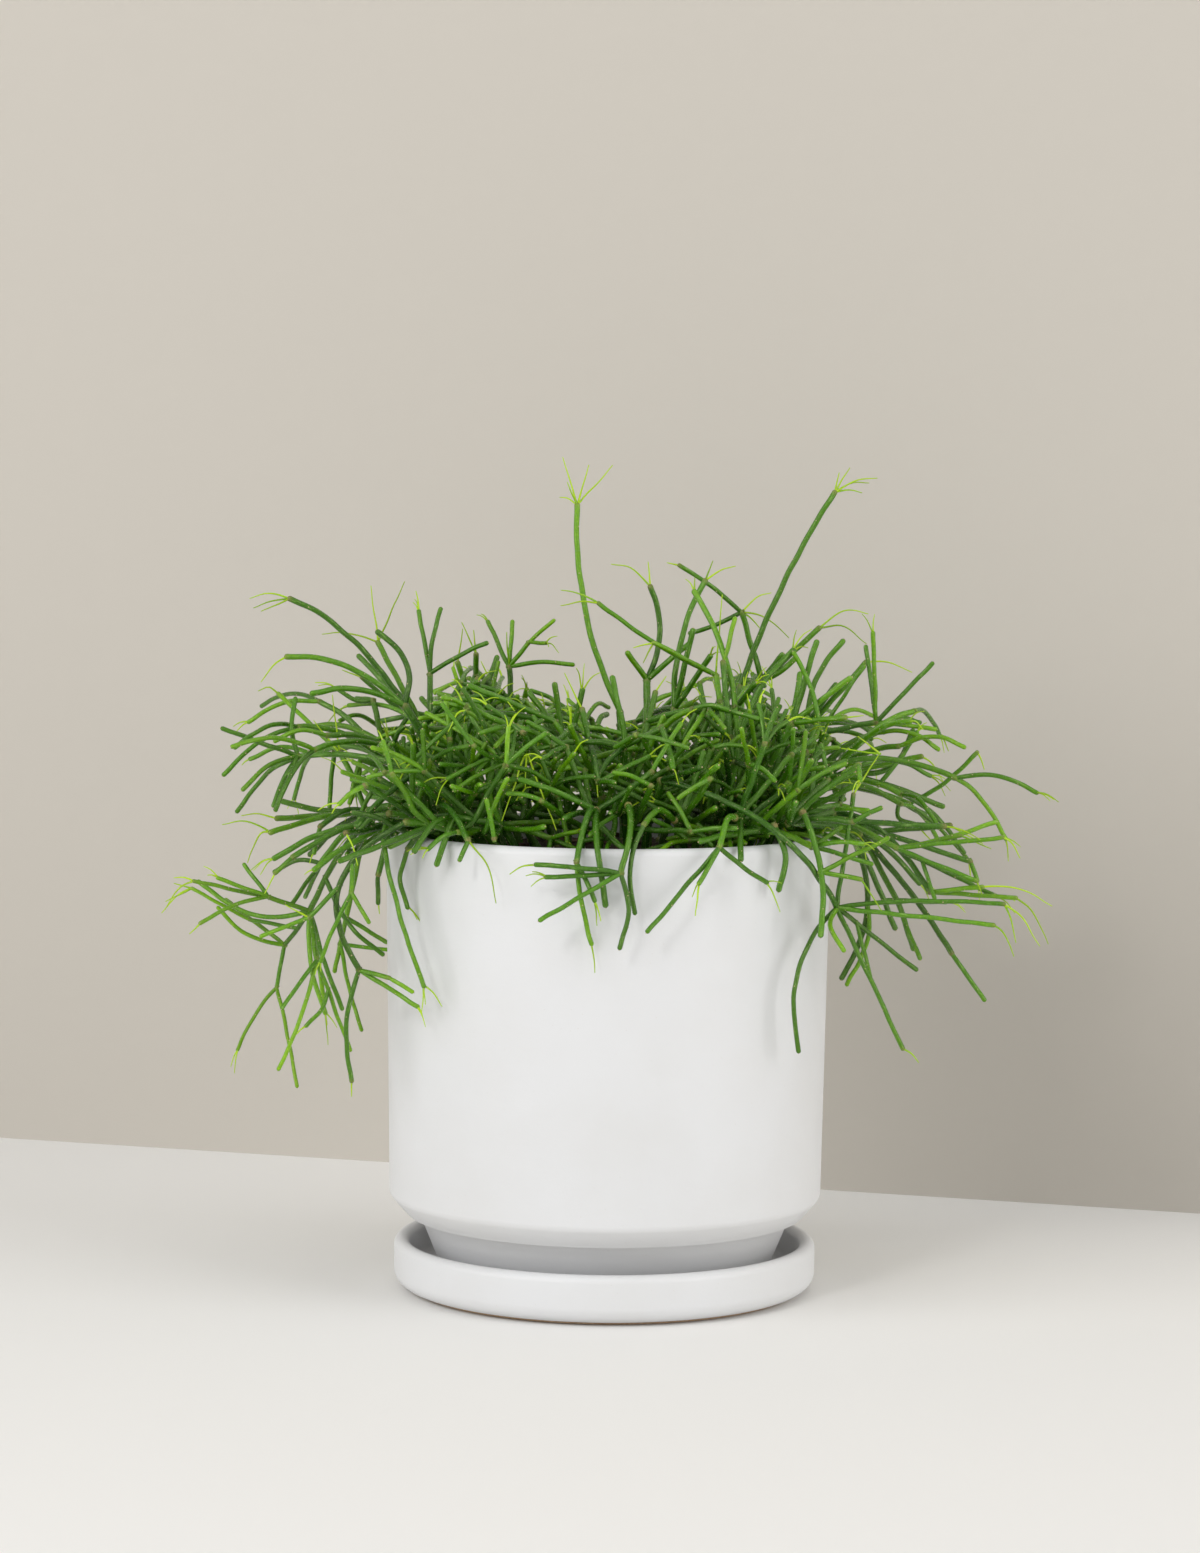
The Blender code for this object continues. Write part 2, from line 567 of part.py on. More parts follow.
def turned(name, profile, group, finish):
    """A closed profile, written down its outer side first, turned about Z."""
    mesh = bpy.data.meshes.new(name)
    count = len(profile)
    mesh.from_pydata([(r * MM, 0.0, z * MM) for r, z in profile], [(k, (k + 1) % count) for k in range(count)], [])
    obj = add_object(name, mesh, group, finish)
    screw = obj.modifiers.new("turn", "SCREW")
    screw.steps = screw.render_steps = TURN_STEPS
    screw.use_merge_vertices = True
    screw.merge_threshold = 0.00001
    return obj


def saucer_profile():
    rim = SAUCER_WALL / 2
    inner = SAUCER_RADIUS - SAUCER_WALL
    return [
        *arc((SAUCER_RADIUS - rim, SAUCER_HEIGHT - rim), rim, 90, 0, 3),
        *arc((SAUCER_RADIUS - SAUCER_HEEL, SAUCER_FOOT_HEIGHT + SAUCER_HEEL), SAUCER_HEEL, 0, -80, 3),
        (SAUCER_FOOT_RADIUS, SAUCER_FOOT_HEIGHT),
        (SAUCER_FOOT_RADIUS - SAUCER_FOOT_BEVEL, 0.0),
        (0.0, 0.0),
        (0.0, SAUCER_FLOOR),
        *arc((inner - SAUCER_FILLET, SAUCER_FLOOR + SAUCER_FILLET), SAUCER_FILLET, -90, 0, 3),
        (inner, SAUCER_HEIGHT - rim),
    ]


def cavity_profile(inset=0.0):
    """The planter's inside, from the floor's edge up to the lip, moved in from the wall by inset."""
    floor = POT_BASE + POT_FLOOR
    return [
        (FOOT_RADIUS - POT_WALL - inset, floor + inset),
        (FOOT_NECK_RADIUS - POT_WALL - inset, CHAMFER_BOTTOM + inset),
        (POT_LOW_RADIUS - POT_WALL - 0.6 - inset, CHAMFER_TOP + 4.0 + inset),
        (POT_TOP_RADIUS - POT_WALL - inset, RIM_TOP - POT_WALL / 2),
    ]


def pot_profile():
    lip = POT_WALL / 2
    slope = math.degrees(math.atan2(CHAMFER_DROP, CHAMFER_INSET))
    corner = CHAMFER_ROUND * math.tan(math.radians(90 - slope) / 2)
    ring_in = FOOT_RADIUS - FOOT_RING_WIDTH
    hole_floor = POT_BASE + POT_FLOOR
    return [
        *arc((POT_TOP_RADIUS - lip, RIM_TOP - lip), lip, 90, 0, 4),
        *arc((POT_LOW_RADIUS - CHAMFER_ROUND, CHAMFER_TOP + corner), CHAMFER_ROUND, 0, slope - 90, 3),
        (POT_LOW_RADIUS - CHAMFER_INSET, CHAMFER_BOTTOM),
        (FOOT_NECK_RADIUS, CHAMFER_BOTTOM - 0.8),
        (FOOT_RADIUS + 0.6, POT_BASE + 1.5),
        (FOOT_RADIUS - 0.6, POT_BASE),
        (ring_in, POT_BASE),
        (ring_in - 1.5, POT_BASE + FOOT_RING_HEIGHT),
        (DRAIN_RADIUS, POT_BASE + FOOT_RING_HEIGHT),
        (DRAIN_RADIUS, hole_floor),
        *cavity_profile(),
        *arc((POT_TOP_RADIUS - lip, RIM_TOP - lip), lip, 180, 90, 3)[1:-1],
    ]


def soil_profile():
    """The fill: flat below, the planter's cavity at its side, and a low crown on top."""
    inside = cavity_profile(CLEARANCE)
    low, high = inside[2], inside[3]
    share = (SOIL_TOP - low[1]) / (high[1] - low[1])
    edge = low[0] + (high[0] - low[0]) * share
    return [
        (0.0, SOIL_TOP + SOIL_CROWN),
        (0.55 * edge, SOIL_TOP + 0.7 * SOIL_CROWN),
        (edge, SOIL_TOP),
        *reversed(inside[:3]),
        (0.0, inside[0][1]),
    ]


def cut_root_pockets(soil, branches, places, cutters):
    """A pocket in the soil for each root, a clearance wider than the root."""
    bm = bmesh.new()
    reach = (ROOT_RADIUS + CLEARANCE + POCKET_SPARE) / math.cos(math.pi / POCKET_SIDES)
    height = 2 * ROOT_DEPTH + CLEARANCE
    for _, _, _, line in branches.lines:
        if not branches.pinned[line[-1]]:
            continue
        x, y, z = places[line[0]]
        made = bmesh.ops.create_cone(bm, cap_ends=True, segments=POCKET_SIDES, radius1=reach * MM,
                                     radius2=reach * MM, depth=height * MM)
        bmesh.ops.translate(bm, verts=made["verts"],
                            vec=(x * MM, y * MM, (z - CLEARANCE + height / 2) * MM))
    mesh = bpy.data.meshes.new("root_pockets")
    bm.to_mesh(mesh)
    bm.free()
    cutter = add_object("root_pockets", mesh, cutters)
    cutter.hide_render = True
    cutter.display_type = "WIRE"
    cut = soil.modifiers.new("root_pockets", "BOOLEAN")
    cut.operation = "DIFFERENCE"
    cut.object = cutter


def tube_mesh(name, tubes):
    """Capped tubes, each a list of (place, radius) and its number of sides, as one mesh.

    Each tube's section is turned a little further than the one before it, so that no two have a face in common.
    """
    bm = bmesh.new()
    for number, (line, sides) in enumerate(tubes):
        across = None
        before = []
        for k, (place, radius) in enumerate(line):
            ahead = line[min(k + 1, len(line) - 1)][0] - line[max(k - 1, 0)][0]
            ahead = ahead / np.linalg.norm(ahead)
            if across is None:
                across = np.cross(ahead, (0.0, 1.0, 0.0) if abs(ahead[1]) < 0.7 else (1.0, 0.0, 0.0))
            across = across - ahead * np.dot(across, ahead)
            across = across / np.linalg.norm(across)
            other = np.cross(ahead, across)
            ring = []
            for n in range(sides):
                turn = math.tau * (n + 0.5) / sides + number * SECTION_TURN
                ring.append(bm.verts.new((place + radius * (across * math.cos(turn) + other * math.sin(turn))) * MM))
            if before:
                for n in range(sides):
                    bm.faces.new((before[n], before[(n + 1) % sides], ring[(n + 1) % sides], ring[n]))
            else:
                bm.faces.new(reversed(ring))
            before = ring
        bm.faces.new(before)
    mesh = bpy.data.meshes.new(name)
    bm.to_mesh(mesh)
    bm.free()
    return mesh


def bend_points(path, slack):
    """The points of a path that a straight run between its neighbours would miss by more than slack."""
    a, b = path[0], path[-1]
    along = unit(b - a)
    miss = [np.linalg.norm(np.cross(p - a, along)) for p in path[1:-1]]
    if not miss or max(miss) < slack:
        return [a, b]
    split = 1 + int(np.argmax(miss))
    return bend_points(path[: split + 1], slack)[:-1] + bend_points(path[split:], slack)


def shoot_paths(lines, places):
    """Each stem's bends. A stem starts a little inside the end of the one it grows from, at a point that they share."""
    paths, ends = [], {}
    for _, _, _, line in lines:
        path = bend_points([places[p] for p in line], STEM_STRAIGHTNESS)
        ends[line[-1]] = path[-1] - unit(path[-1] - path[-2]) * JOINT_DEPTH
        if line[0] in ends:
            path[0] = ends[line[0]]
            path[0] = path[0] - unit(path[1] - path[0]) * JOINT_OVERLAP
        paths.append(path)
    return paths


def unit(way):
    return way / max(np.linalg.norm(way), 1e-6)


def tube_line(path, radius, taper):
    """A stem's bends with its radius at each."""
    last = len(path) - 1
    return [(place, radius * (1 - (1 - taper) * k / last)) for k, place in enumerate(path)]


def stem_sides(level, young):
    return YOUNG_SIDES if young else STEM_SIDES[min(level, len(STEM_SIDES) - 1)]


def build_shoot(name, lines, places, group, cutters, finish):
    """One shoot as one solid: the tubes of its stems, joined by a Boolean union."""
    tubes = []
    for path, (_, level, young, line) in zip(shoot_paths(lines, places), lines):
        radius = ROOT_RADIUS if line is lines[0][3] else stem_radius(level, young)
        tubes.append((tube_line(path, radius, YOUNG_TAPER if young else STEM_TAPER), stem_sides(level, young)))
    obj = add_object(name, tube_mesh(name, tubes[:1]), group, finish)
    others = add_object(f"{name}_stems", tube_mesh(f"{name}_stems", tubes[1:]), cutters)
    others.hide_render = True
    others.display_type = "WIRE"
    union = obj.modifiers.new("stems", "BOOLEAN")
    union.operation = "UNION"
    union.object = others
    union.use_self = True
    return obj


def grow():
    """All shoots' centre lines in their final places."""
    branches = Branches()
    shoots = spread_roots({**SHOOTS, **fill_shoots()})
    for name, (root, back, first) in shoots.items():
        branches.add_shoot(name, root, back, first)
    places, hits, short = give_room(branches)
    print(f"stems {len(branches.lines)}, close pairs left {hits}, worst {short:.3f} mm")
    return shoots, branches, places


def main():
    for obj in list(bpy.data.objects):
        bpy.data.objects.remove(obj)
    group = collection("potted_mistletoe_cactus")
    cutters = collection("cutters")
    glaze = material("white_ceramic", (0.84, 0.84, 0.83), 0.45)
    earth = material("potting_soil", (0.05, 0.03, 0.02), 0.95)
    green = material("green_stem", (0.06, 0.2, 0.03), 0.5)
    turned("saucer", saucer_profile(), group, glaze)
    turned("pot", pot_profile(), group, glaze)
    soil = turned("soil", soil_profile(), group, earth)
    shoots, branches, places = grow()
    cut_root_pockets(soil, branches, places, cutters)
    for name in shoots:
        lines = [line for line in branches.lines if line[0] == name]
        build_shoot(f"shoot_{name}", lines, places, group, cutters, green)


if __name__ == "__main__":
    main()
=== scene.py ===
"""Looks of a potted mistletoe cactus: white planter, saucer, soil and a crown of forking green stems."""

import logging
import math
import random
from dataclasses import dataclass, field
from enum import Enum
from typing import Iterable, Sequence

import bmesh
import bpy
import numpy as np
from mathutils import Matrix, Quaternion, Vector, noise


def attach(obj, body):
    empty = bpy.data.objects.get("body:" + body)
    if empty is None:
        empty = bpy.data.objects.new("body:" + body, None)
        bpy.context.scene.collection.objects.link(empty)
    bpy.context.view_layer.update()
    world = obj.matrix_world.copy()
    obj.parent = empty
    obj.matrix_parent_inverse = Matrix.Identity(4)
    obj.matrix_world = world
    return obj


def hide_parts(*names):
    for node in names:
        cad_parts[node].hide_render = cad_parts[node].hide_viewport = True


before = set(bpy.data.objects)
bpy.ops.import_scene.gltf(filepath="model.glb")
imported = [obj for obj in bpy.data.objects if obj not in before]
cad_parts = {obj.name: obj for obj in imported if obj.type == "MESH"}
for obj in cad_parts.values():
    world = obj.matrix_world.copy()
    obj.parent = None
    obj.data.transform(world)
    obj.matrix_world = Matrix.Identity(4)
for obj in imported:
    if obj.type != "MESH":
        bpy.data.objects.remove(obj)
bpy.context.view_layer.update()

LOG = logging.getLogger("mistletoe_cactus")
MM = 0.001
ROOT_BODY = "root"
Point = tuple[float, float, float]


# ------------------------------------------------------------------------------------------------------
# Sizes that the stems and the planter share, in millimetres
# ------------------------------------------------------------------------------------------------------

SAUCER_FLOOR = 6.0
CLEARANCE = 0.3
POT_TOP_RADIUS = 89.0
POT_LOW_RADIUS = 86.8
POT_WALL = 6.0
POT_HEIGHT = 178.1
POT_FLOOR = 7.0
CHAMFER_FOOT_GAP = 23.7
CHAMFER_DROP = 8.0
FOOT_NECK_RADIUS = 74.5
FOOT_RADIUS = 65.0
INNER_EASE = 4.0
INNER_STEP = 0.6
SOIL_BELOW_RIM = 10.5
POT_BASE = SAUCER_FLOOR + CLEARANCE
RIM_TOP = POT_BASE + POT_HEIGHT
CHAMFER_BOTTOM = POT_BASE + CHAMFER_FOOT_GAP
CHAMFER_TOP = CHAMFER_BOTTOM + CHAMFER_DROP
INNER_LOW = CHAMFER_TOP + INNER_EASE
SOIL_TOP = RIM_TOP - SOIL_BELOW_RIM
SOIL_CROWN = 2.5
ROOT_DEPTH = 12.0
ROOT_RADIUS = 1.8
ROOT_PITCH = 6.8
STEM_RADII = (1.65, 1.25, 1.0, 0.88, 0.8)
YOUNG_RADIUS = 0.45
STEM_SWAY = 0.45
SWAY_SEED = 7
STEM_GAP = 0.55
POT_GAP = 1.3


# ------------------------------------------------------------------------------------------------------
# The plant: every shoot is a tree of stems, written as the points where its stems end
# ------------------------------------------------------------------------------------------------------


@dataclass(frozen=True)
class Stem:
    """A stem from the end of the one before it to a point, and the stems that grow from that point."""

    end: Point
    kids: tuple["Stem", ...] = ()
    arch: float = 0.0
    via: Point | None = None
    young: bool = False


def stem(x: float, y: float, z: float, *kids: Stem, arch: float = 0.0, via: Point | None = None) -> Stem:
    """A grown stem that ends at x, y, z.

    Args:
        x, y, z: The end, in millimetres.
        kids: The stems that grow from the end.
        arch: How far the stem's middle is lifted.
        via: A point that the stem passes through.

    Returns:
        The stem.
    """
    return Stem((x, y, z), kids, arch, via)


def tip(x: float, y: float, z: float, *kids: Stem, arch: float = 0.0, via: Point | None = None) -> Stem:
    """A thin young growth that ends at x, y, z, with the same arguments as stem."""
    return Stem((x, y, z), kids, arch, via, young=True)


# Each shoot: its root's place in the soil, how far it leans back from the points given, and its stems.
SHOOTS: dict[str, tuple] = {
    # Tall shoots that stand above the crown.
    "tall_centre": ((10, -8), 8, stem(4, 0, 231, stem(
        -14, 4, 314, tip(-20, 6, 333), tip(-18, 0, 323), tip(-9.5, 2, 330), tip(0, 8, 330), tip(-21, 8, 317, arch=1),
        via=(-10, 2, 270)))),
    "tall_right": ((40, 26), 8, stem(53, 26, 240, stem(
        90, 20, 320, tip(96, 20, 330), tip(92, 25, 328), tip(107, 18, 326, arch=2), tip(104, 23, 324, arch=2),
        tip(101, 20, 320, arch=1), via=(68, 23, 279)))),
    # Shoots of the left side.
    "left_arch": ((-42, 12), 22, stem(
        -72, 8, 215,
        stem(-130, 2, 275, tip(-146, 0, 275, arch=2), tip(-145, 6, 271, arch=1), tip(-141, -4, 270), arch=10),
        stem(-95, 14, 257, tip(-98, 14, 280), tip(-84, 8, 282), tip(-118, 18, 260, arch=2)),
        stem(-103, 26, 251, arch=2))),
    "left_fan": ((-46, -4), -6, stem(
        -81, -2, 234,
        stem(-128, -6, 253, tip(-138, -8, 243, arch=2), arch=6),
        stem(-117, -14, 239, arch=4),
        stem(-92, 0, 263, via=(-80, 0, 249)))),
    "left_whorl": ((-26, -30), -6, stem(
        -74, -38, 210,
        stem(-122, -28, 215,
             stem(-151, -34, 226), stem(-124, -16, 237, via=(-125, -22, 226)), stem(-142, -44, 203, arch=3),
             stem(-147, -14, 192, arch=4), stem(-131, -34, 196, arch=2), stem(-124, -44, 209),
             arch=3),
        stem(-97, -58, 190, arch=2), arch=6)),
    "left_cross": ((-52, -22), 8, stem(
        -96, -24, 192,
        stem(-107, -18, 215,
             stem(-132, -12, 238, tip(-140, -12, 239, arch=2)), tip(-117, -24, 228), tip(-110, -20, 238),
             arch=1),
        stem(-114, -30, 186, stem(-116, -34, 176), arch=3), arch=8)),
    "left_elbow": ((-50, 6), 28, stem(
        -91, -6, 214,
        stem(-96, -4, 233, stem(-110, -2, 237, arch=-2), stem(-103, 4, 233)),
        stem(-112, 2, 212, stem(-114, 4, 187, arch=3), arch=2), arch=6)),
    "left_low": ((-55, -8), 0, stem(
        -94, -10, 190,
        stem(-131, -6, 193, arch=-2),
        stem(-132, -16, 188, tip(-146, -16, 189, arch=1.5)),
        stem(-134, -24, 183, tip(-153, -24, 186, arch=3), tip(-143, -24, 171, arch=5), arch=2),
        stem(-120, -4, 173, arch=4), arch=6)),
    "left_skirt": ((-50, -34), 0, stem(
        -90, -44, 190,
        stem(-132, -48, 177, arch=4), stem(-124, -56, 177, arch=3), stem(-116, -62, 175, arch=2),
        stem(-104, -66, 190, tip(-99, -70, 178, arch=2)), arch=6)),
    "left_fall": ((-44, -46), 0, stem(
        -84, -54, 194,
        stem(-117, -32, 154,
             stem(-133, -38, 160,
                  stem(-143, -32, 172), stem(-152, -46, 168), stem(-162, -40, 166, tip(-173, -42, 155, arch=3),
                                                                   tip(-170, -38, 167, arch=1)),
                  stem(-158, -54, 151, tip(-162, -55, 147), arch=2)),
             stem(-162, -20, 164, arch=-7),
             stem(-128, -20, 139,
                  stem(-152, -12, 156),
                  stem(-131, -20, 122, stem(-147, -14, 96, arch=3), stem(-122, -30, 84, via=(-127, -24, 106)))),
             stem(-110, -42, 115, via=(-116, -38, 134)),
             stem(-113, -50, 137, stem(-125, -66, 120), stem(-127, -58, 95, via=(-117, -56, 120)),
                  stem(-100, -46, 101)),
             arch=9), arch=4)),
    "left_fall_front": ((-38, -52), 0, stem(
        -78, -64, 192,
        stem(-96, -58, 134, stem(-73, -66, 121), stem(-99, -54, 90, tip(-99, -54, 84), via=(-101, -56, 112)),
             stem(-84, -66, 132, stem(-75, -68, 127)), via=(-104, -64, 165)), arch=4)),
    "left_fall_back": ((-58, 4), 24, stem(
        -93, 6, 188,
        stem(-117, 0, 167, stem(-136, 4, 163, arch=3), stem(-128, -8, 151), stem(-124, 12, 152), arch=4),
        stem(-107, 10, 144, stem(-91, 18, 133), stem(-112, 16, 121), arch=9), arch=6)),
    # Shoots that drape over the front of the rim.
    "front_drape_left": ((-34, -50), 0, stem(
        -60, -64, 192,
        stem(-78, -54, 178, stem(-78, -52, 155, via=(-81, -52, 166)), arch=5),
        stem(-66, -70, 174), stem(-74, -82, 180, arch=4), arch=3)),
    "front_thread_left": ((-60, -30), 0, stem(
        -84, -44, 194,
        stem(-88, -58, 184, stem(-71, -70, 128, via=(-81, -66, 156)), arch=2),
        stem(-90, -48, 168, stem(-90, -48, 157)), arch=3)),
    "front_arc_left": ((-48, -40), 0, stem(
        -66, -58, 196, stem(-54, -80, 184, tip(-43, -86, 161, via=(-46, -86, 174)), stem(-57, -84, 177), arch=3))),
    "front_fork_a": ((-12, -44), 0, stem(
        -5, -68, 197,
        stem(-12, -93, 179, stem(-6, -92, 148, via=(-10, -94, 164)), stem(-5, -97, 165, arch=1), arch=7),
        stem(-1, -92, 163, via=(-4, -92, 184)),
        stem(-34, -74, 209, arch=1), arch=5)),
    "front_fork_b": ((10, -46), 0, stem(
        7, -74, 199,
        stem(4, -94, 174, stem(4, -95, 146, via=(7, -95, 162)), stem(-28, -99, 177), stem(-24, -96, 173),
             stem(-26, -102, 157), via=(7, -91, 187)), arch=5)),
    "front_hook": ((30, -38), 0, stem(
        25, -66, 193, stem(13, -88, 193, stem(10, -92, 160, via=(8, -93, 176)), arch=5), arch=4)),
    "front_fork_c": ((56, -30), 0, stem(
        48, -72, 195,
        stem(42, -86, 185, stem(34, -94, 172), stem(15, -98, 154), stem(60, -88, 172, arch=-1), arch=5), arch=6)),
    "front_stub_right": ((50, -44), 0, stem(64, -66, 191, stem(66, -70, 167, via=(68, -70, 182)), arch=3)),
    "front_right_fall": ((12, -28), 0, stem(
        20, -50, 207,
        stem(89, -50, 159,
             stem(95, -46, 203, tip(105, -44, 219, tip(90, -46, 221), tip(96, -52, 226))),
             stem(154, -48, 161, tip(159, -48, 146, arch=2), tip(168, -50, 145, arch=3), arch=2),
             stem(149, -60, 154, tip(157, -60, 142, arch=3)),
             stem(121, -40, 134), stem(115, -56, 105, tip(121, -58, 100, arch=1)),
             stem(74, -66, 105, via=(73, -66, 134)), stem(91, -64, 144, via=(86, -61, 152)),
             via=(62, -71, 191)))),
    "right_drop": ((60, -36), 0, stem(74, -62, 196, stem(81, -66, 149, via=(80, -64, 178)), arch=2)),
    # Shoots of the right side.
    "right_spray": ((58, -22), -6, stem(
        94, -28, 191,
        stem(113, -30, 181,
             stem(152, -22, 191, arch=-1), stem(154, -32, 186, tip(161, -32, 178, arch=2)),
             stem(144, -36, 169, tip(146, -38, 164)), stem(153, -26, 162)),
        stem(131, -34, 190, tip(145, -34, 185, arch=1)), arch=5)),
    "right_reach": ((46, -14), 0, stem(
        90, -12, 192,
        stem(126, -36, 164, stem(146, -42, 167, tip(173, -44, 160, arch=3)),
             stem(160, -34, 162, tip(173, -34, 144, arch=4)), arch=8), arch=6)),
    "right_long": ((56, -8), 0, stem(
        100, -16, 184,
        stem(136, -24, 138, stem(149, -26, 120), via=(116, -20, 166)),
        stem(122, -14, 139, via=(113, -16, 162)), arch=8)),
    "right_low": ((60, 0), 24, stem(
        96, 4, 186,
        stem(117, -2, 143, via=(108, 0, 164)), stem(96, 2, 122, via=(106, 4, 150)),
        stem(148, 6, 170, stem(151, 6, 162)), stem(128, 14, 160, arch=3), arch=7)),
    "right_fork": ((46, 4), 14, stem(
        78, -2, 221,
        stem(107, -5, 227,
             stem(129, -8, 251), stem(131, -2, 224), stem(105, -8, 263), stem(103, 4, 257)), arch=4)),
    "right_high": ((38, 14), 30, stem(
        63, 14, 243,
        stem(86, 12, 265, tip(106, 12, 271, arch=4), tip(105, 6, 259, arch=4)),
        stem(71, 8, 254),
        stem(54, 12, 271, stem(28, 8, 290, tip(23, 8, 291), via=(42, 10, 281)), stem(33, 18, 262, arch=-1),
             tip(66, 14, 279, arch=2), tip(73, 4, 261, arch=3), tip(62, 16, 264, arch=1)))),
    "right_comb": ((52, 14), 42, stem(
        82, 18, 222,
        stem(97, 24, 258, via=(86, 22, 242)), stem(94, 14, 240),
        stem(106, 16, 250, tip(125, 16, 246, arch=2)), arch=3)),
    "right_brush": ((48, -8), -8, stem(
        72, -14, 229,
        stem(94, -20, 247), stem(81, -16, 261), stem(75, -8, 248), stem(92, -26, 232, tip(99, -28, 233)))),
    "right_mid": ((56, 10), 16, stem(
        95, 6, 209,
        stem(125, 2, 216, tip(134, 2, 206, arch=2)), stem(122, 10, 226, via=(114, 8, 212)),
        stem(135, 14, 195, via=(117, 10, 202)), arch=5)),
    "right_edge": ((60, 12), 40, stem(
        100, 16, 198, stem(124, 4, 192, stem(151, -2, 214, tip(154, -2, 207, arch=1), via=(138, 2, 201)), arch=1),
        stem(132, 24, 186, arch=2), arch=7)),
    # Shoots of the crown's middle.
    "crown_fork": ((16, 8), 20, stem(
        15, 10, 243,
        stem(16, 12, 281, tip(0, 12, 290, arch=3), tip(15, 14, 291), via=(20, 12, 264)),
        stem(7, 6, 254), stem(32, 6, 258))),
    "crown_reach": ((34, -6), 0, stem(
        47, -12, 216,
        stem(42, -6, 247,
             stem(-5, 0, 275, tip(-20, 2, 280, arch=1), tip(-20, -4, 274, arch=1), via=(20, -3, 258)),
             stem(17, -16, 260, tip(9, -17, 258), tip(13, -14, 252)), tip(44, -10, 279)))),
    "crown_pair": ((28, 2), 12, stem(
        26, 4, 232,
        stem(38, 8, 284, tip(41, 8, 292), tip(50, 6, 290, arch=1), via=(29, 6, 262)),
        stem(33, -2, 264), stem(40, -8, 254))),
    "crown_stand": ((40, -20), 0, stem(
        49, -26, 214, stem(45, -22, 253, tip(50, -22, 270)), stem(32, -4, 280, via=(43, -16, 258)),
        stem(71, -22, 258, via=(58, -26, 243)))),
    "crown_candelabra": ((-30, 6), 26, stem(
        -39, 8, 224,
        stem(-41, 8, 248,
             stem(-50, 12, 266), stem(-40, 14, 266), stem(-33, 6, 258, stem(-23, 5, 267), stem(-26, -1, 258)),
             stem(-15, 6, 249, arch=1.5), tip(-42, 2, 262)))),
    "crown_left": ((-42, -8), 16, stem(
        -73, -10, 213,
        stem(-73, -8, 245,
             stem(-69, -6, 271, via=(-72, -8, 259)), stem(-78, -2, 270), stem(-50, -18, 258, arch=1)))),
    "crown_left_back": ((-36, 22), 34, stem(
        -56, 22, 226,
        stem(-64, 18, 248, tip(-62, 18, 262)), stem(-56, 10, 252, tip(-57, 8, 262), tip(-62, 12, 265)),
        stem(-48, 26, 250))),
    "crown_bridge": ((8, -24), 0, stem(
        6, -40, 220,
        stem(-32, -56, 219,
             stem(-55, -62, 235, tip(-62, -64, 227, arch=3)), tip(-41, -66, 193), tip(-32, -70, 206),
             tip(-20, -70, 190), stem(-62, -66, 209, arch=2), stem(-59, -72, 205, arch=1), arch=3),
        stem(21, -46, 228), arch=2)),
    "crown_front": ((-4, -26), 0, stem(
        -3, -34, 200, stem(-11, -30, 234, tip(-18, -30, 248)), stem(-22, -28, 229))),
    "crown_low": ((-16, -12), 0, stem(
        -17, -14, 214, stem(-32, -8, 239, arch=2), stem(-22, -16, 243), stem(-11, -18, 241))),
    "crown_thick": ((10, -30), 0, stem(9, -30, 206, stem(0, -26, 246), stem(20, -34, 231), stem(17, -18, 240))),
}

FILL_SHOOTS = 14
FILL_TOP = 226.0
FILL_LENGTH = 50.0
FILL_SEED = 5


def fill_shoots() -> dict[str, tuple]:
    """Shoots that arch out over the back of the rim, with every fourth one nearer to the middle.

    Returns:
        Name to root, lean back and first stem, as in SHOOTS.
    """
    rng = random.Random(FILL_SEED)
    made = {}
    for number in range(FILL_SHOOTS):
        inner = number % 4 == 3
        turn = math.radians(-12 + 204 * number / (FILL_SHOOTS - 1))
        spread = (18 if inner else 50) + rng.uniform(-6, 8)
        root = (spread * math.cos(turn), spread * math.sin(turn) + 4)
        lean = (0.3 if inner else 0.55) + rng.uniform(0.0, 0.35)
        first = fork(rng, (*root, SOIL_TOP), turn + rng.uniform(-0.25, 0.25), lean, FILL_LENGTH, 0)
        made[f"fill_{number + 1:02d}"] = (root, 0, first)
    return made


def fork(rng: random.Random, start: Point, heading: float, lean: float, length: float, level: int) -> Stem:
    """A stem that leaves start at a heading and a lean from the vertical, and the stems that fork from it.

    Args:
        rng: The draws.
        start: Where the stem begins.
        heading: Its direction seen from above, in radians.
        lean: Its lean from the vertical, in radians.
        length: Its usual length.
        level: 0 for the first stem, 1 for its children and so on.

    Returns:
        The stem with its forks.
    """
    length *= rng.uniform(0.8, 1.15)
    flat = length * math.sin(lean)
    end = (
        start[0] + flat * math.cos(heading),
        start[1] + flat * math.sin(heading),
        min(start[2] + length * math.cos(lean), FILL_TOP + rng.uniform(-8.0, 8.0)),
    )
    count = (3, rng.choice((0, 1, 2)), 0)[level]
    turn = rng.uniform(0.0, math.tau)
    kids = tuple(
        fork(rng, end, heading + 0.8 * math.sin(turn + math.tau * k / count),
             min(lean + 0.45 + 0.45 * math.cos(turn + math.tau * k / count), 2.4), length * 0.85, level + 1)
        for k in range(count)
    )
    return Stem(end, kids, 4.0 * min(lean, 1.0))


# ------------------------------------------------------------------------------------------------------
# Growing room: the stems' centre lines, pushed apart until each has its own space
# ------------------------------------------------------------------------------------------------------


@dataclass
class Line:
    """One stem's centre line: the shoot and level that it belongs to, and the numbers of its points."""

    shoot: str
    level: int
    young: bool
    points: list[int]

    @property
    def radius(self) -> float:
        """The stem's radius at its start, in millimetres."""
        return YOUNG_RADIUS if self.young else STEM_RADII[min(self.level, len(STEM_RADII) - 1)]


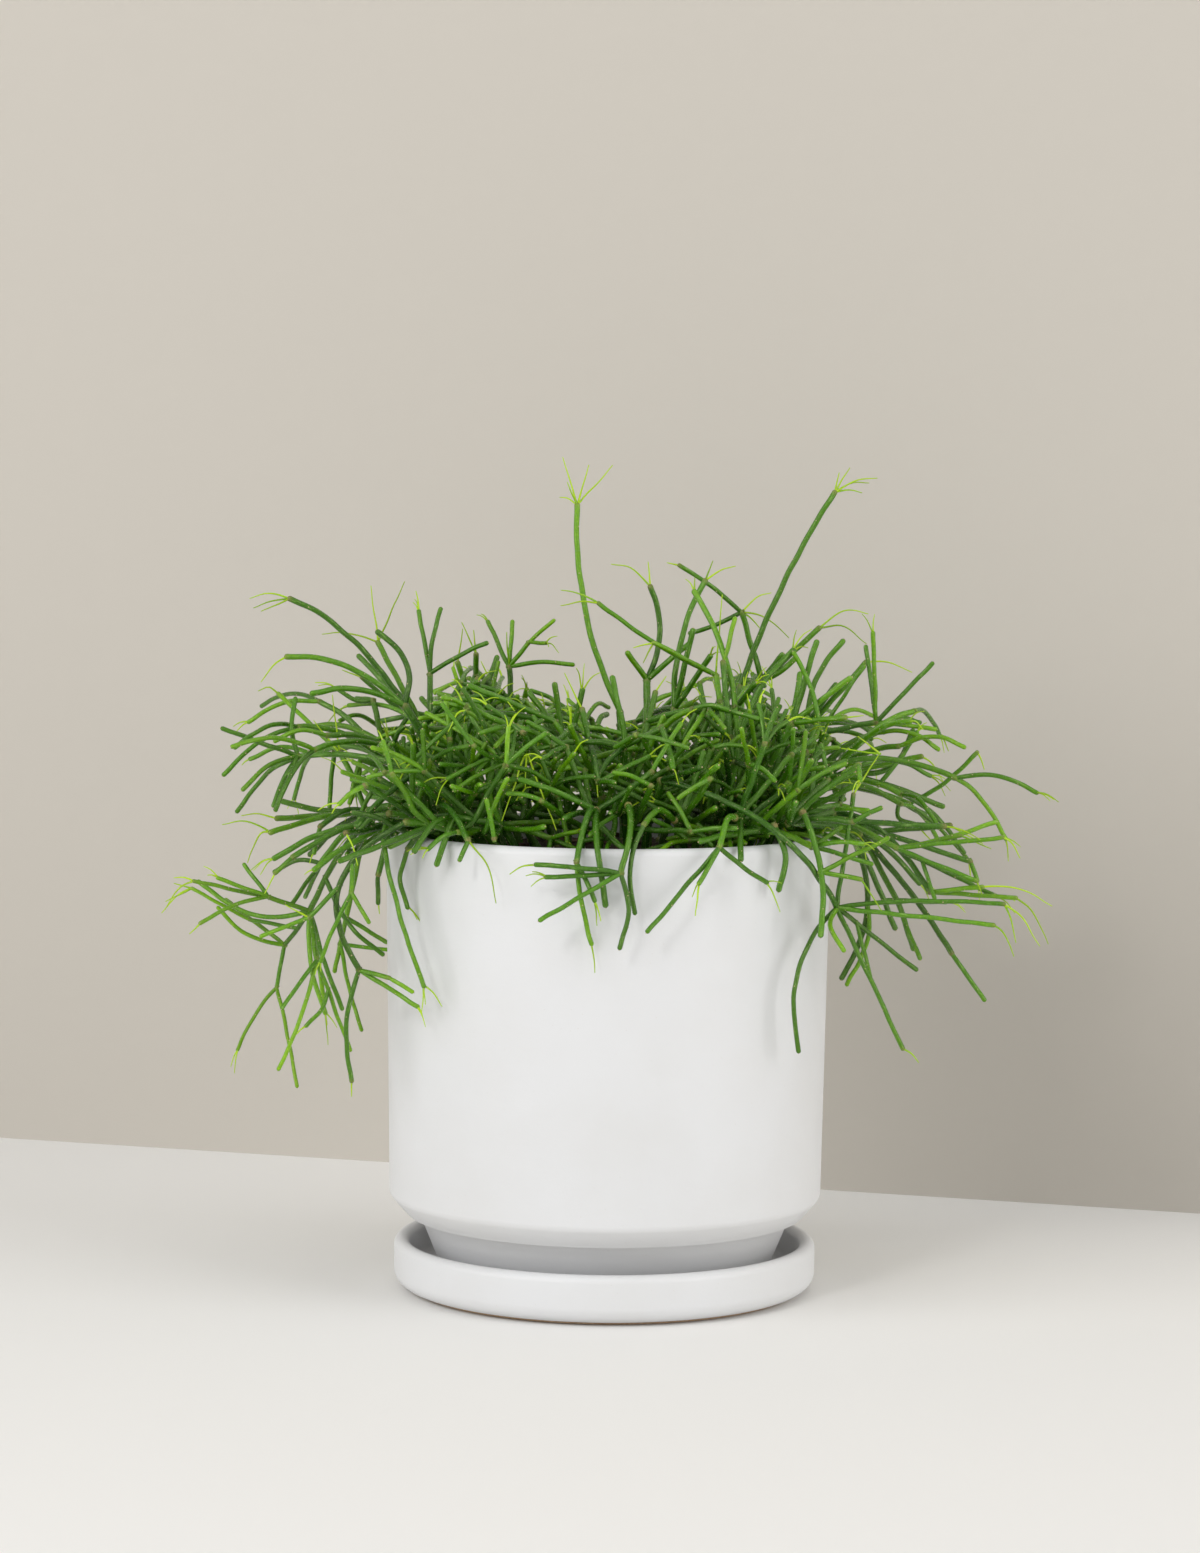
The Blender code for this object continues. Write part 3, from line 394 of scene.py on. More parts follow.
@dataclass
class Branches:
    """The points of every stem's centre line, with a shared point where one stem grows from another."""

    points: list[Point] = field(default_factory=list)
    lines: list[Line] = field(default_factory=list)
    pinned: list[bool] = field(default_factory=list)

    def add_point(self, place: Point, pinned: bool = False) -> int:
        """Adds a point and returns its number."""
        self.points.append(place)
        self.pinned.append(pinned)
        return len(self.points) - 1

    def add_shoot(self, shoot: str, root: tuple[float, float], back: float, first: Stem) -> None:
        """Adds a shoot. Its root stands upright in the soil, and the rest leans back as it grows.

        Args:
            shoot: The shoot's name.
            root: Its place on the soil.
            back: How far it leans back from its written points.
            first: Its first stem.
        """
        foot = self.add_point((*root, SOIL_TOP - ROOT_DEPTH), pinned=True)
        collar = self.add_point((*root, SOIL_TOP + 2.0), pinned=True)
        self.lines.append(Line(shoot, 0, False, [foot, collar]))
        self.add_stem(shoot, collar, first, 0, np.array((0.0, float(back), 0.0)))

    def add_stem(self, shoot: str, start: int, grown: Stem, level: int, shift: np.ndarray) -> None:
        """Adds a stem's points along one smooth arc, and then its children.

        Args:
            shoot: The shoot's name.
            start: The number of the point that it grows from.
            grown: The stem.
            level: Its generation.
            shift: Added to every written point.
        """
        a, c = np.array(self.points[start], float), np.array(grown.end, float) + shift
        if grown.via is None:
            middle, at = (a + c) / 2 + np.array((0.0, 0.0, grown.arch)), 0.5
        else:
            middle = np.array(grown.via, float) + shift
            before, after = np.linalg.norm(middle - a), np.linalg.norm(c - middle)
            at = before / (before + after)
        bend = (middle - (1 - at) ** 2 * a - at**2 * c) / (2 * at * (1 - at))
        spans = max(2, min(7, round(np.linalg.norm(c - a) / (9.0 if grown.young else 11.0))))
        line = [start]
        for step in range(1, spans + 1):
            t = step / spans
            line.append(self.add_point(tuple((1 - t) ** 2 * a + 2 * t * (1 - t) * bend + t**2 * c)))
        self.lines.append(Line(shoot, level, grown.young, line))
        for kid in grown.kids:
            self.add_stem(shoot, line[-1], kid, level + 1, shift)


def spread_roots(shoots: dict[str, tuple]) -> dict[str, tuple]:
    """Moves the shoots' roots apart in the soil until each has room.

    Args:
        shoots: Name to root, lean back and first stem.

    Returns:
        The same with the roots moved.
    """
    roots = np.array([root for root, _, _ in shoots.values()], float)
    limit = POT_TOP_RADIUS - POT_WALL - ROOT_PITCH
    for _ in range(200):
        apart = roots[:, None, :] - roots[None, :, :]
        away = np.linalg.norm(apart, axis=2) + np.eye(len(roots)) * 1e3
        short = np.maximum(ROOT_PITCH - away, 0.0)
        roots += (apart / away[:, :, None] * short[:, :, None]).sum(axis=1) * 0.5
        rho = np.linalg.norm(roots, axis=1)
        roots *= np.minimum(limit / np.maximum(rho, 1e-6), 1.0)[:, None]
    return {name: (tuple(root), *rest) for (name, (_, *rest)), root in zip(shoots.items(), roots)}


def closest(p1: np.ndarray, q1: np.ndarray, p2: np.ndarray, q2: np.ndarray) -> tuple[np.ndarray, np.ndarray]:
    """Where two sets of straight pieces come nearest.

    Args:
        p1, q1: The ends of the first set's pieces.
        p2, q2: The ends of the second set's pieces.

    Returns:
        The nearest places, as shares of the pieces' lengths.
    """
    d1, d2, r = q1 - p1, q2 - p2, p1 - p2
    a = np.einsum("ij,ij->i", d1, d1)
    e = np.einsum("ij,ij->i", d2, d2)
    b = np.einsum("ij,ij->i", d1, d2)
    c = np.einsum("ij,ij->i", d1, r)
    f = np.einsum("ij,ij->i", d2, r)
    s = np.clip((b * f - c * e) / np.maximum(a * e - b * b, 1e-9), 0, 1)
    t = np.clip((b * s + f) / np.maximum(e, 1e-9), 0, 1)
    s = np.clip((b * t - c) / np.maximum(a, 1e-9), 0, 1)
    return s, t


def pot_push(places: np.ndarray, radii: np.ndarray) -> np.ndarray:
    """How far each place has to move to clear the planter's wall and lip, and the soil.

    Args:
        places: Points on centre lines.
        radii: The stems' radii there.

    Returns:
        A move for each place.
    """
    push = np.zeros_like(places)
    rho = np.hypot(places[:, 0], places[:, 1])
    half = POT_WALL / 2
    middle = POT_TOP_RADIUS - half
    below = np.minimum(places[:, 2] - (RIM_TOP - half), 0.0)
    middle = middle + below * (POT_TOP_RADIUS - POT_LOW_RADIUS) / (RIM_TOP - CHAMFER_TOP)
    across, over = rho - middle, np.maximum(places[:, 2] - (RIM_TOP - half), 0.0)
    away = np.maximum(np.hypot(across, over), 1e-6)
    short = np.maximum(half + radii + POT_GAP - away, 0.0)
    outward = places[:, :2] / np.maximum(rho, 1e-6)[:, None]
    push[:, :2] += outward * (short * across / away)[:, None]
    push[:, 2] += short * over / away
    in_pot = rho < middle
    soil = SOIL_TOP + SOIL_CROWN + radii + POT_GAP
    push[:, 2] += np.where(in_pot, np.maximum(soil - places[:, 2], 0.0), 0.0)
    return push


@dataclass(frozen=True)
class Room:
    """How the stems are pushed apart."""

    rounds: int = 260
    last_rounds: int = 40
    search_every: int = 10
    search_margin: float = 6.0
    push_share: float = 0.62
    wall_share: float = 0.8
    smoothing: float = 0.35

    def make(self, branches: Branches) -> np.ndarray:
        """Moves the stems' points apart, smoothly along each stem, until no two stems overlap.

        Args:
            branches: The stems. Its pinned points stay.

        Returns:
            Every point's final place.
        """
        places = np.array(branches.points, float)
        rest = places.copy()
        pinned = np.array(branches.pinned)
        edges, radii, owner = [], [], []
        for number, line in enumerate(branches.lines):
            for a, b in zip(line.points, line.points[1:]):
                edges.append((a, b))
                radii.append(line.radius)
                owner.append(number)
        edges, radii, owner = np.array(edges), np.array(radii), np.array(owner)
        fixed = pinned[edges].all(axis=1)
        point_radius = np.zeros(len(places))
        np.maximum.at(point_radius, edges.ravel(), np.repeat(radii, 2))
        degree = np.zeros(len(places))
        np.add.at(degree, edges.ravel(), 1.0)
        first, second = np.triu_indices(len(edges), 1)
        joined = (edges[first][:, :, None] == edges[second][:, None, :]).any(axis=(1, 2))
        keep = ~(joined | (owner[first] == owner[second]) | (fixed[first] & fixed[second]))
        first, second = first[keep], second[keep]
        for turn in range(self.rounds):
            if turn % self.search_every == 0:
                a, b = places[edges[:, 0]], places[edges[:, 1]]
                centre, reach = (a + b) / 2, np.linalg.norm(b - a, axis=1) / 2 + radii
                gap = np.linalg.norm(centre[first] - centre[second], axis=1)
                near = gap < reach[first] + reach[second] + self.search_margin
                one, two = first[near], second[near]
            places += self.stem_push(places, edges[one], edges[two], radii[one] + radii[two]) * ~pinned[:, None]
            wall = pot_push(places, point_radius)
            for share in (0.25, 0.5, 0.75):
                lift = pot_push(places[edges[:, 0]] * (1 - share) + places[edges[:, 1]] * share, radii)
                np.add.at(wall, edges[:, 0], lift * (1 - share))
                np.add.at(wall, edges[:, 1], lift * share)
            places += wall * ~pinned[:, None] * self.wall_share
            if turn < self.rounds - self.last_rounds:
                drift = places - rest
                around = np.zeros_like(places)
                np.add.at(around, edges[:, 0], drift[edges[:, 1]])
                np.add.at(around, edges[:, 1], drift[edges[:, 0]])
                drift += self.smoothing * (around / degree[:, None] - drift)
                drift[pinned] = 0.0
                places = rest + drift
        return places

    def stem_push(self, places: np.ndarray, a: np.ndarray, b: np.ndarray, reach: np.ndarray) -> np.ndarray:
        """The move of every point that takes close stems apart.

        Args:
            places: Every point.
            a, b: The two stems' straight pieces, as pairs of point numbers.
            reach: The sum of their radii.

        Returns:
            A move for each point.
        """
        s, t = closest(places[a[:, 0]], places[a[:, 1]], places[b[:, 0]], places[b[:, 1]])
        p = places[a[:, 0]] * (1 - s)[:, None] + places[a[:, 1]] * s[:, None]
        q = places[b[:, 0]] * (1 - t)[:, None] + places[b[:, 1]] * t[:, None]
        apart = p - q
        away = np.linalg.norm(apart, axis=1)
        short = reach + STEM_GAP - away
        hit = short > 0
        move, share = np.zeros_like(places), np.zeros(len(places))
        side = np.cross(places[a[:, 1]] - places[a[:, 0]], places[b[:, 1]] - places[b[:, 0]])
        side /= np.maximum(np.linalg.norm(side, axis=1), 1e-6)[:, None]
        flip = np.where(np.einsum("ij,ij->i", side, apart) < 0, -1.0, 1.0)[:, None]
        push = np.where((away > 0.4)[:, None], apart / np.maximum(away, 1e-6)[:, None], side * flip)
        push = push * (np.maximum(short, 0) * self.push_share)[:, None]
        for ends, along, sign in ((a, s, 1.0), (b, t, -1.0)):
            for k, part in ((0, 1 - along), (1, along)):
                w = part * hit
                np.add.at(move, ends[:, k], sign * push * w[:, None])
                np.add.at(share, ends[:, k], w)
        return move / np.maximum(share, 1.0)[:, None]


# ------------------------------------------------------------------------------------------------------
# Finishes
# ------------------------------------------------------------------------------------------------------

Colour = tuple[float, float, float]
Stops = Sequence[tuple[float, Colour]]


@dataclass
class NodeBoard:
    """A material's nodes, added one by one and linked as they come."""

    name: str

    def __post_init__(self) -> None:
        """Starts the material with its shader."""
        self.material = bpy.data.materials.new(self.name)
        self.material.use_nodes = True
        self.tree = self.material.node_tree
        self.shader = self.tree.nodes["Principled BSDF"]

    def node(self, kind: str, settings: dict | None = None, **inputs: object) -> bpy.types.Node:
        """Adds a node.

        Args:
            kind: The node's type name.
            settings: Its properties.
            inputs: Its inputs by name, underscores for spaces: a value or another node's output.

        Returns:
            The node.
        """
        made = self.tree.nodes.new(kind)
        for key, value in (settings or {}).items():
            setattr(made, key, value)
        for key, value in inputs.items():
            self.feed(made.inputs[key.replace("_", " ")], value)
        return made

    def feed(self, socket: bpy.types.NodeSocket, value: object) -> None:
        """Links an output to a socket, or sets its value."""
        if isinstance(value, bpy.types.NodeSocket):
            self.tree.links.new(value, socket)
        elif isinstance(value, tuple) and len(value) == 3 and socket.type == "RGBA":
            socket.default_value = (*value, 1.0)
        else:
            socket.default_value = value

    def set(self, **inputs: object) -> None:
        """Feeds the shader's own sockets by name, underscores for spaces."""
        for key, value in inputs.items():
            self.feed(self.shader.inputs[key.replace("_", " ")], value)

    def place(self, scale: Point = (1.0, 1.0, 1.0)) -> bpy.types.NodeSocket:
        """Object coordinates, scaled."""
        where = self.node("ShaderNodeTexCoord").outputs["Object"]
        return self.node("ShaderNodeMapping", Vector=where, Scale=scale).outputs["Vector"]

    def attribute(self, name: str, output: str = "Fac") -> bpy.types.NodeSocket:
        """A value kept on the mesh."""
        return self.node("ShaderNodeAttribute", {"attribute_name": name}).outputs[output]

    def noise(self, vector: bpy.types.NodeSocket, scale: float, detail: float = 3.0,
              roughness: float = 0.55) -> bpy.types.NodeSocket:
        """A noise value between 0 and 1."""
        return self.node("ShaderNodeTexNoise", Vector=vector, Scale=scale, Detail=detail,
                         Roughness=roughness).outputs["Fac"]

    def span(self, value: object, low: float, high: float, to_low: float = 0.0,
             to_high: float = 1.0) -> bpy.types.NodeSocket:
        """A value moved from one range to another and kept inside it."""
        return self.node("ShaderNodeMapRange", Value=value, From_Min=low, From_Max=high, To_Min=to_low,
                         To_Max=to_high).outputs["Result"]

    def sum(self, kind: str, a: object, b: object) -> bpy.types.NodeSocket:
        """One step of arithmetic."""
        made = self.node("ShaderNodeMath", {"operation": kind})
        self.feed(made.inputs[0], a)
        self.feed(made.inputs[1], b)
        return made.outputs[0]

    def mix(self, share: object, a: object, b: object, blend: str = "MIX") -> bpy.types.NodeSocket:
        """A mix of two colours."""
        made = self.node("ShaderNodeMix", {"data_type": "RGBA", "blend_type": blend})
        self.feed(made.inputs[0], share)
        self.feed(made.inputs[6], a)
        self.feed(made.inputs[7], b)
        return made.outputs[2]

    def ramp(self, value: object, stops: Stops) -> bpy.types.NodeSocket:
        """A colour for a value."""
        made = self.node("ShaderNodeValToRGB", Fac=value)
        bar = made.color_ramp.elements
        while len(bar) < len(stops):
            bar.new(0.5)
        for element, (at, colour) in zip(bar, stops):
            element.position = at
            element.color = (*colour, 1.0)
        return made.outputs["Color"]

    def bump(self, height: bpy.types.NodeSocket, depth: float, strength: float = 1.0) -> None:
        """Gives the shader a bump of a depth in metres."""
        made = self.node("ShaderNodeBump", Height=height, Distance=depth, Strength=strength)
        self.set(Normal=made.outputs["Normal"])


@dataclass(frozen=True)
class StemFinish:
    """Waxy green skin: yellow-green when young, dark green when grown, with cork at the joints and pale lengthwise
    streaks that are partly waxy bloom and partly painted highlight.
    """

    young: Colour = (0.44, 0.66, 0.012)
    fresh: Colour = (0.20, 0.43, 0.002)
    grown: Colour = (0.066, 0.220, 0.002)
    old: Colour = (0.014, 0.080, 0.003)
    cork: Colour = (0.26, 0.17, 0.07)
    # Pale streak colour: partly waxy bloom, partly painted highlight on the stems.
    bloom_and_painted_highlight: Colour = (0.36, 0.58, 0.15)

    def make(self) -> bpy.types.Material:
        """Builds the material. It reads age, cork, shade and grain from the mesh."""
        board = NodeBoard("waxy_stem")
        grain = board.attribute("grain", "Vector")
        long = board.node("ShaderNodeMapping", Vector=grain, Scale=(1.0, 1.0, 0.16)).outputs["Vector"]
        mottle = board.noise(grain, 900.0, 4.0)
        streak = board.noise(long, 1100.0, 3.0, 0.6)
        age = board.sum("ADD", board.attribute("age"), board.span(mottle, 0.3, 0.7, -0.10, 0.10))
        skin = board.ramp(age, ((0.0, self.young), (0.3, self.fresh), (0.62, self.grown), (1.0, self.old)))
        # Lengthwise streaks of the pale colour: partly waxy bloom, partly painted highlight.
        skin = board.mix(board.span(streak, 0.56, 0.72, 0.0, 0.42), skin, self.bloom_and_painted_highlight)
        speck = board.node("ShaderNodeTexVoronoi", {"feature": "F1"}, Vector=grain, Scale=1500.0).outputs["Distance"]
        skin = board.mix(board.span(speck, 0.13, 0.05, 0.0, 0.5), skin, (0.55, 0.62, 0.40))
        shade = board.attribute("shade")
        skin = board.mix(1.0, skin, board.ramp(shade, ((0.0, (0.62, 0.66, 0.6)), (0.5, (1.0, 1.0, 1.0)),
                                                        (1.0, (1.0, 1.0, 1.0)))), "MULTIPLY")
        rough = board.noise(grain, 2600.0, 3.0)
        cork = board.sum("MULTIPLY", board.attribute("cork"), board.span(rough, 0.35, 0.6, 0.35, 1.0))
        skin = board.mix(cork, skin, self.cork)
        height = board.sum("ADD", board.sum("MULTIPLY", streak, 0.6), board.sum("MULTIPLY", rough, 0.4))
        board.bump(height, 0.0005)
        board.set(Base_Color=skin, Roughness=board.span(mottle, 0.35, 0.65, 0.15, 0.30), IOR=1.4,
                  Specular_IOR_Level=1.0, Specular_Tint=(0.88, 1.0, 0.55, 1.0))
        return board.material


@dataclass(frozen=True)
class AreoleFinish:
    """The cream felt of the small bristle cushions."""

    colour: Colour = (0.62, 0.50, 0.30)

    def make(self) -> bpy.types.Material:
        """Builds the material."""
        board = NodeBoard("areole_felt")
        patch = board.noise(board.place(), 3000.0)
        board.set(Base_Color=board.mix(patch, self.colour, (0.40, 0.28, 0.14)), Roughness=0.9)
        board.bump(patch, 0.0002)
        return board.material


@dataclass(frozen=True)
class GlazeFinish:
    """Matte white glaze: almost even, with a faint warm cloud, fine grain and a soft sheen."""

    name: str
    white: Colour = (0.70, 0.703, 0.71)
    warm: Colour = (0.68, 0.68, 0.68)

    def make(self) -> bpy.types.Material:
        """Builds the material."""
        board = NodeBoard(self.name)
        cloud = board.noise(board.place(), 22.0, 4.0)
        fine = board.noise(board.place(), 900.0, 5.0, 0.65)
        wave = board.noise(board.place((1.0, 1.0, 2.2)), 55.0, 2.0)
        colour = board.mix(board.span(cloud, 0.38, 0.68), self.white, self.warm)
        pit = board.node("ShaderNodeTexVoronoi", Vector=board.place(), Scale=260.0).outputs["Distance"]
        colour = board.mix(board.span(pit, 0.06, 0.03, 0.0, 0.35), colour, (0.52, 0.47, 0.40))
        board.set(Base_Color=colour, Roughness=board.span(fine, 0.3, 0.7, 0.42, 0.56), IOR=1.5)
        board.bump(board.sum("ADD", board.sum("MULTIPLY", fine, 0.3), wave), 0.00012)
        return board.material


@dataclass(frozen=True)
class ClayFinish:
    """Bare fired clay where the glaze was wiped off the foot."""

    colour: Colour = (0.34, 0.21, 0.12)

    def make(self) -> bpy.types.Material:
        """Builds the material."""
        board = NodeBoard("bare_clay")
        grit = board.noise(board.place(), 1400.0, 5.0, 0.7)
        board.set(Base_Color=board.mix(board.span(grit, 0.35, 0.65), self.colour, (0.52, 0.38, 0.25)), Roughness=0.85)
        board.bump(grit, 0.0003)
        return board.material


@dataclass(frozen=True)
class SoilFinish:
    """Loose dark potting mix."""

    dark: Colour = (0.016, 0.010, 0.007)
    light: Colour = (0.085, 0.052, 0.032)

    def make(self) -> bpy.types.Material:
        """Builds the material."""
        board = NodeBoard("potting_mix")
        lump = board.noise(board.place(), 140.0, 6.0, 0.7)
        fibre = board.noise(board.place((1.0, 3.0, 1.0)), 620.0, 5.0, 0.7)
        colour = board.mix(board.span(fibre, 0.35, 0.68), self.dark, self.light)
        colour = board.mix(board.span(lump, 0.55, 0.75, 0.0, 0.5), colour, (0.12, 0.075, 0.045))
        board.set(Base_Color=colour, Roughness=0.95)
        board.bump(board.sum("ADD", lump, fibre), 0.0018)
        return board.material


@dataclass(frozen=True)
class GritFinish:
    """Crumbs in the soil: bark or perlite."""

    name: str
    dark: Colour
    light: Colour

    def make(self) -> bpy.types.Material:
        """Builds the material."""
        board = NodeBoard(self.name)
        grit = board.noise(board.place(), 700.0, 4.0, 0.7)
        board.set(Base_Color=board.mix(board.span(grit, 0.3, 0.7), self.dark, self.light), Roughness=0.92)
        board.bump(grit, 0.0006)
        return board.material


@dataclass(frozen=True)
class StageFinish:
    """Plain painted surface of the room around the object."""

    name: str
    colour: Colour
    one_sided: bool = False

    def make(self) -> bpy.types.Material:
        """Builds the material. A one-sided surface is not seen from behind."""
        board = NodeBoard(self.name)
        board.set(Base_Color=self.colour, Roughness=0.8)
        board.shader.inputs["Specular IOR Level"].default_value = 0.2
        if self.one_sided:
            back = board.node("ShaderNodeNewGeometry").outputs["Backfacing"]
            clear = board.node("ShaderNodeBsdfTransparent").outputs[0]
            both = board.node("ShaderNodeMixShader", Fac=back)
            board.feed(both.inputs[1], board.shader.outputs[0])
            board.feed(both.inputs[2], clear)
            board.feed(board.tree.nodes["Material Output"].inputs["Surface"], both.outputs[0])
        return board.material


# ------------------------------------------------------------------------------------------------------
# Mesh work that the pieces share
# ------------------------------------------------------------------------------------------------------


def arc(centre: tuple[float, float], radius: float, start: float, end: float, count: int) -> list[tuple[float, float]]:
    """Points of a circle in a profile's plane.

    Args:
        centre: The circle's centre.
        radius: Its radius.
        start, end: Angles in degrees.
        count: How many steps.

    Returns:
        count + 1 points.
    """
    return [
        (centre[0] + radius * math.cos(math.radians(start + (end - start) * k / count)),
         centre[1] + radius * math.sin(math.radians(start + (end - start) * k / count)))
        for k in range(count + 1)
    ]


def finish_piece(name: str, bm: bmesh.types.BMesh, materials: Iterable[bpy.types.Material],
                 sharp: float = 40.0) -> bpy.types.Object:
    """Makes a mesh object of a bmesh, smooth but for its sharp edges.

    Args:
        name: The piece's name.
        bm: Its mesh, which is freed.
        materials: Its material slots.
        sharp: The angle in degrees from which an edge stays sharp.

    Returns:
        The object, at the origin.
    """
    mesh = bpy.data.meshes.new(name)
    bm.to_mesh(mesh)
    bm.free()
    for made in materials:
        mesh.materials.append(made)
    mesh.shade_smooth()
    mesh.set_sharp_from_angle(angle=math.radians(sharp))
    obj = bpy.data.objects.new(name, mesh)
    bpy.context.scene.collection.objects.link(obj)
    return obj


def turned(profile: Sequence[tuple[float, float]], steps: int) -> bmesh.types.BMesh:
    """Turns a profile about Z.

    Args:
        profile: Radius and height of each point, in millimetres, from the axis or closed on itself.
        steps: How many steps go round.

    Returns:
        The closed mesh.
    """
    bm = bmesh.new()
    verts = [bm.verts.new((r * MM, 0.0, z * MM)) for r, z in profile]
    pairs = [(a, b) for a, b in zip(verts, verts[1:] + verts[:1]) if a.co.x + b.co.x > 0.0]
    edges = [bm.edges.new(pair) for pair in pairs]
    bmesh.ops.spin(bm, geom=verts + edges, axis=(0, 0, 1), cent=(0, 0, 0), angle=math.tau, steps=steps,
                   use_merge=True, use_duplicate=False)
    bmesh.ops.remove_doubles(bm, verts=bm.verts, dist=0.000002)
    bmesh.ops.recalc_face_normals(bm, faces=bm.faces)
    return bm


def scatter_layers(bm: bmesh.types.BMesh) -> dict[str, object]:
    """The values that the stems' skin reads, as layers of a mesh, made if they are missing.

    Args:
        bm: The mesh.

    Returns:
        Name to layer.
    """
    floats, vectors = bm.verts.layers.float, bm.verts.layers.float_vector
    made = {name: floats.get(name) or floats.new(name) for name in ("age", "cork", "shade")}
    made["grain"] = vectors.get("grain") or vectors.new("grain")
    return made


# ------------------------------------------------------------------------------------------------------
# Saucer, planter and soil
# ------------------------------------------------------------------------------------------------------


@dataclass
class Saucer:
    """Low round tray with a rounded rim and a bare foot."""

    radius: float = 84.8
    height: float = 20.0
    wall: float = 6.3
    floor: float = SAUCER_FLOOR
    heel: float = 6.5
    fillet: float = 4.0
    foot_radius: float = 78.2
    foot_height: float = 1.0
    steps: int = 160

    def profile(self) -> list[tuple[float, float]]:
        """The section, down its outer side and back up inside."""
        rim, inner = self.wall / 2, self.radius - self.wall
        return [
            *arc((self.radius - rim, self.height - rim), rim, 90, 0, 10),
            *arc((self.radius - self.heel, self.foot_height + self.heel), self.heel, 0, -80, 10),
            (self.foot_radius, self.foot_height),
            *arc((self.foot_radius - 0.7, 0.45), 0.45, 0, -90, 3),
            (self.foot_radius * 0.5, 0.0),
            (0.0, 0.0),
            (0.0, self.floor),
            (inner * 0.5, self.floor),
            *arc((inner - self.fillet, self.floor + self.fillet), self.fillet, -90, 0, 8),
            (inner, self.height - rim - 1.5),
            *arc((self.radius - rim, self.height - rim), rim, 180, 90, 8)[:-1],
        ]

    def build(self) -> bpy.types.Object:
        """Builds the saucer with glaze and a bare clay foot."""
        bm = turned(self.profile(), self.steps)
        for face in bm.faces:
            if face.calc_center_median().z < (self.foot_height - 0.1) * MM and face.normal.z < 0.5:
                face.material_index = 1
        saucer = finish_piece("glazed_saucer", bm, (GlazeFinish("matte_white_saucer").make(), ClayFinish().make()))
        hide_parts("saucer")
        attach(saucer, ROOT_BODY)
        return saucer


@dataclass
class Planter:
    """Straight-sided cup with a rounded lip, a chamfer low down and a stepped-in tapered foot."""

    top_radius: float = POT_TOP_RADIUS
    low_radius: float = POT_LOW_RADIUS
    wall: float = POT_WALL
    chamfer_inset: float = 7.3
    chamfer_round: float = 4.5
    neck_radius: float = FOOT_NECK_RADIUS
    foot_radius: float = FOOT_RADIUS
    ring_width: float = 7.0
    ring_height: float = 3.0
    floor: float = POT_FLOOR
    drain_radius: float = 9.0
    side_parts: int = 6
    steps: int = 192

    def profile(self) -> list[tuple[float, float]]:
        """The section, down its outer side, under the foot, through the drain hole and up inside."""
        lip = self.wall / 2
        slope = math.degrees(math.atan2(CHAMFER_TOP - CHAMFER_BOTTOM, self.chamfer_inset))
        corner = self.chamfer_round * math.tan(math.radians(90 - slope) / 2)
        ring_in = self.foot_radius - self.ring_width
        floor = POT_BASE + self.floor
        side = [
            (self.top_radius + (self.low_radius - self.top_radius) * k / self.side_parts,
             RIM_TOP - lip + (CHAMFER_TOP + corner - RIM_TOP + lip) * k / self.side_parts)
            for k in range(1, self.side_parts)
        ]
        shoulder = self.low_radius - self.chamfer_inset
        return [
            *arc((self.top_radius - lip, RIM_TOP - lip), lip, 90, 0, 10),
            *side,
            *arc((self.low_radius - self.chamfer_round, CHAMFER_TOP + corner), self.chamfer_round, 0, slope - 90, 10),
            (shoulder + 1.2, CHAMFER_BOTTOM + 1.1),
            *arc((shoulder - 0.4, CHAMFER_BOTTOM + 0.9), 0.9, -20, -90, 4),
            (self.neck_radius + 0.8, CHAMFER_BOTTOM - 0.1),
            (self.neck_radius, CHAMFER_BOTTOM - 0.8),
            (self.foot_radius + 0.8, POT_BASE + 1.6),
            *arc((self.foot_radius - 0.6, POT_BASE + 1.0), 1.0, -10, -90, 4),
            (ring_in + 0.8, POT_BASE),
            (ring_in, POT_BASE + 0.4),
            (ring_in - 1.5, POT_BASE + self.ring_height),
            (self.drain_radius + 0.6, POT_BASE + self.ring_height),
            (self.drain_radius, POT_BASE + self.ring_height + 0.6),
            (self.drain_radius, floor - 0.5),
            (self.drain_radius + 0.5, floor),
            (self.foot_radius - self.wall, floor),
            (self.neck_radius - self.wall, CHAMFER_BOTTOM),
            (self.low_radius - self.wall - INNER_STEP, INNER_LOW),
            (self.top_radius - self.wall, RIM_TOP - lip - 1.0),
            *arc((self.top_radius - lip, RIM_TOP - lip), lip, 180, 90, 10)[:-1],
        ]

    def build(self) -> bpy.types.Object:
        """Builds the planter, with a bare clay foot ring."""
        bm = turned(self.profile(), self.steps)
        for face in bm.faces:
            if face.calc_center_median().z < (POT_BASE + 0.3) * MM:
                face.material_index = 1
        pot = finish_piece("glazed_planter", bm, (GlazeFinish("matte_white_planter").make(), ClayFinish().make()))
        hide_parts("pot")
        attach(pot, ROOT_BODY)
        return pot


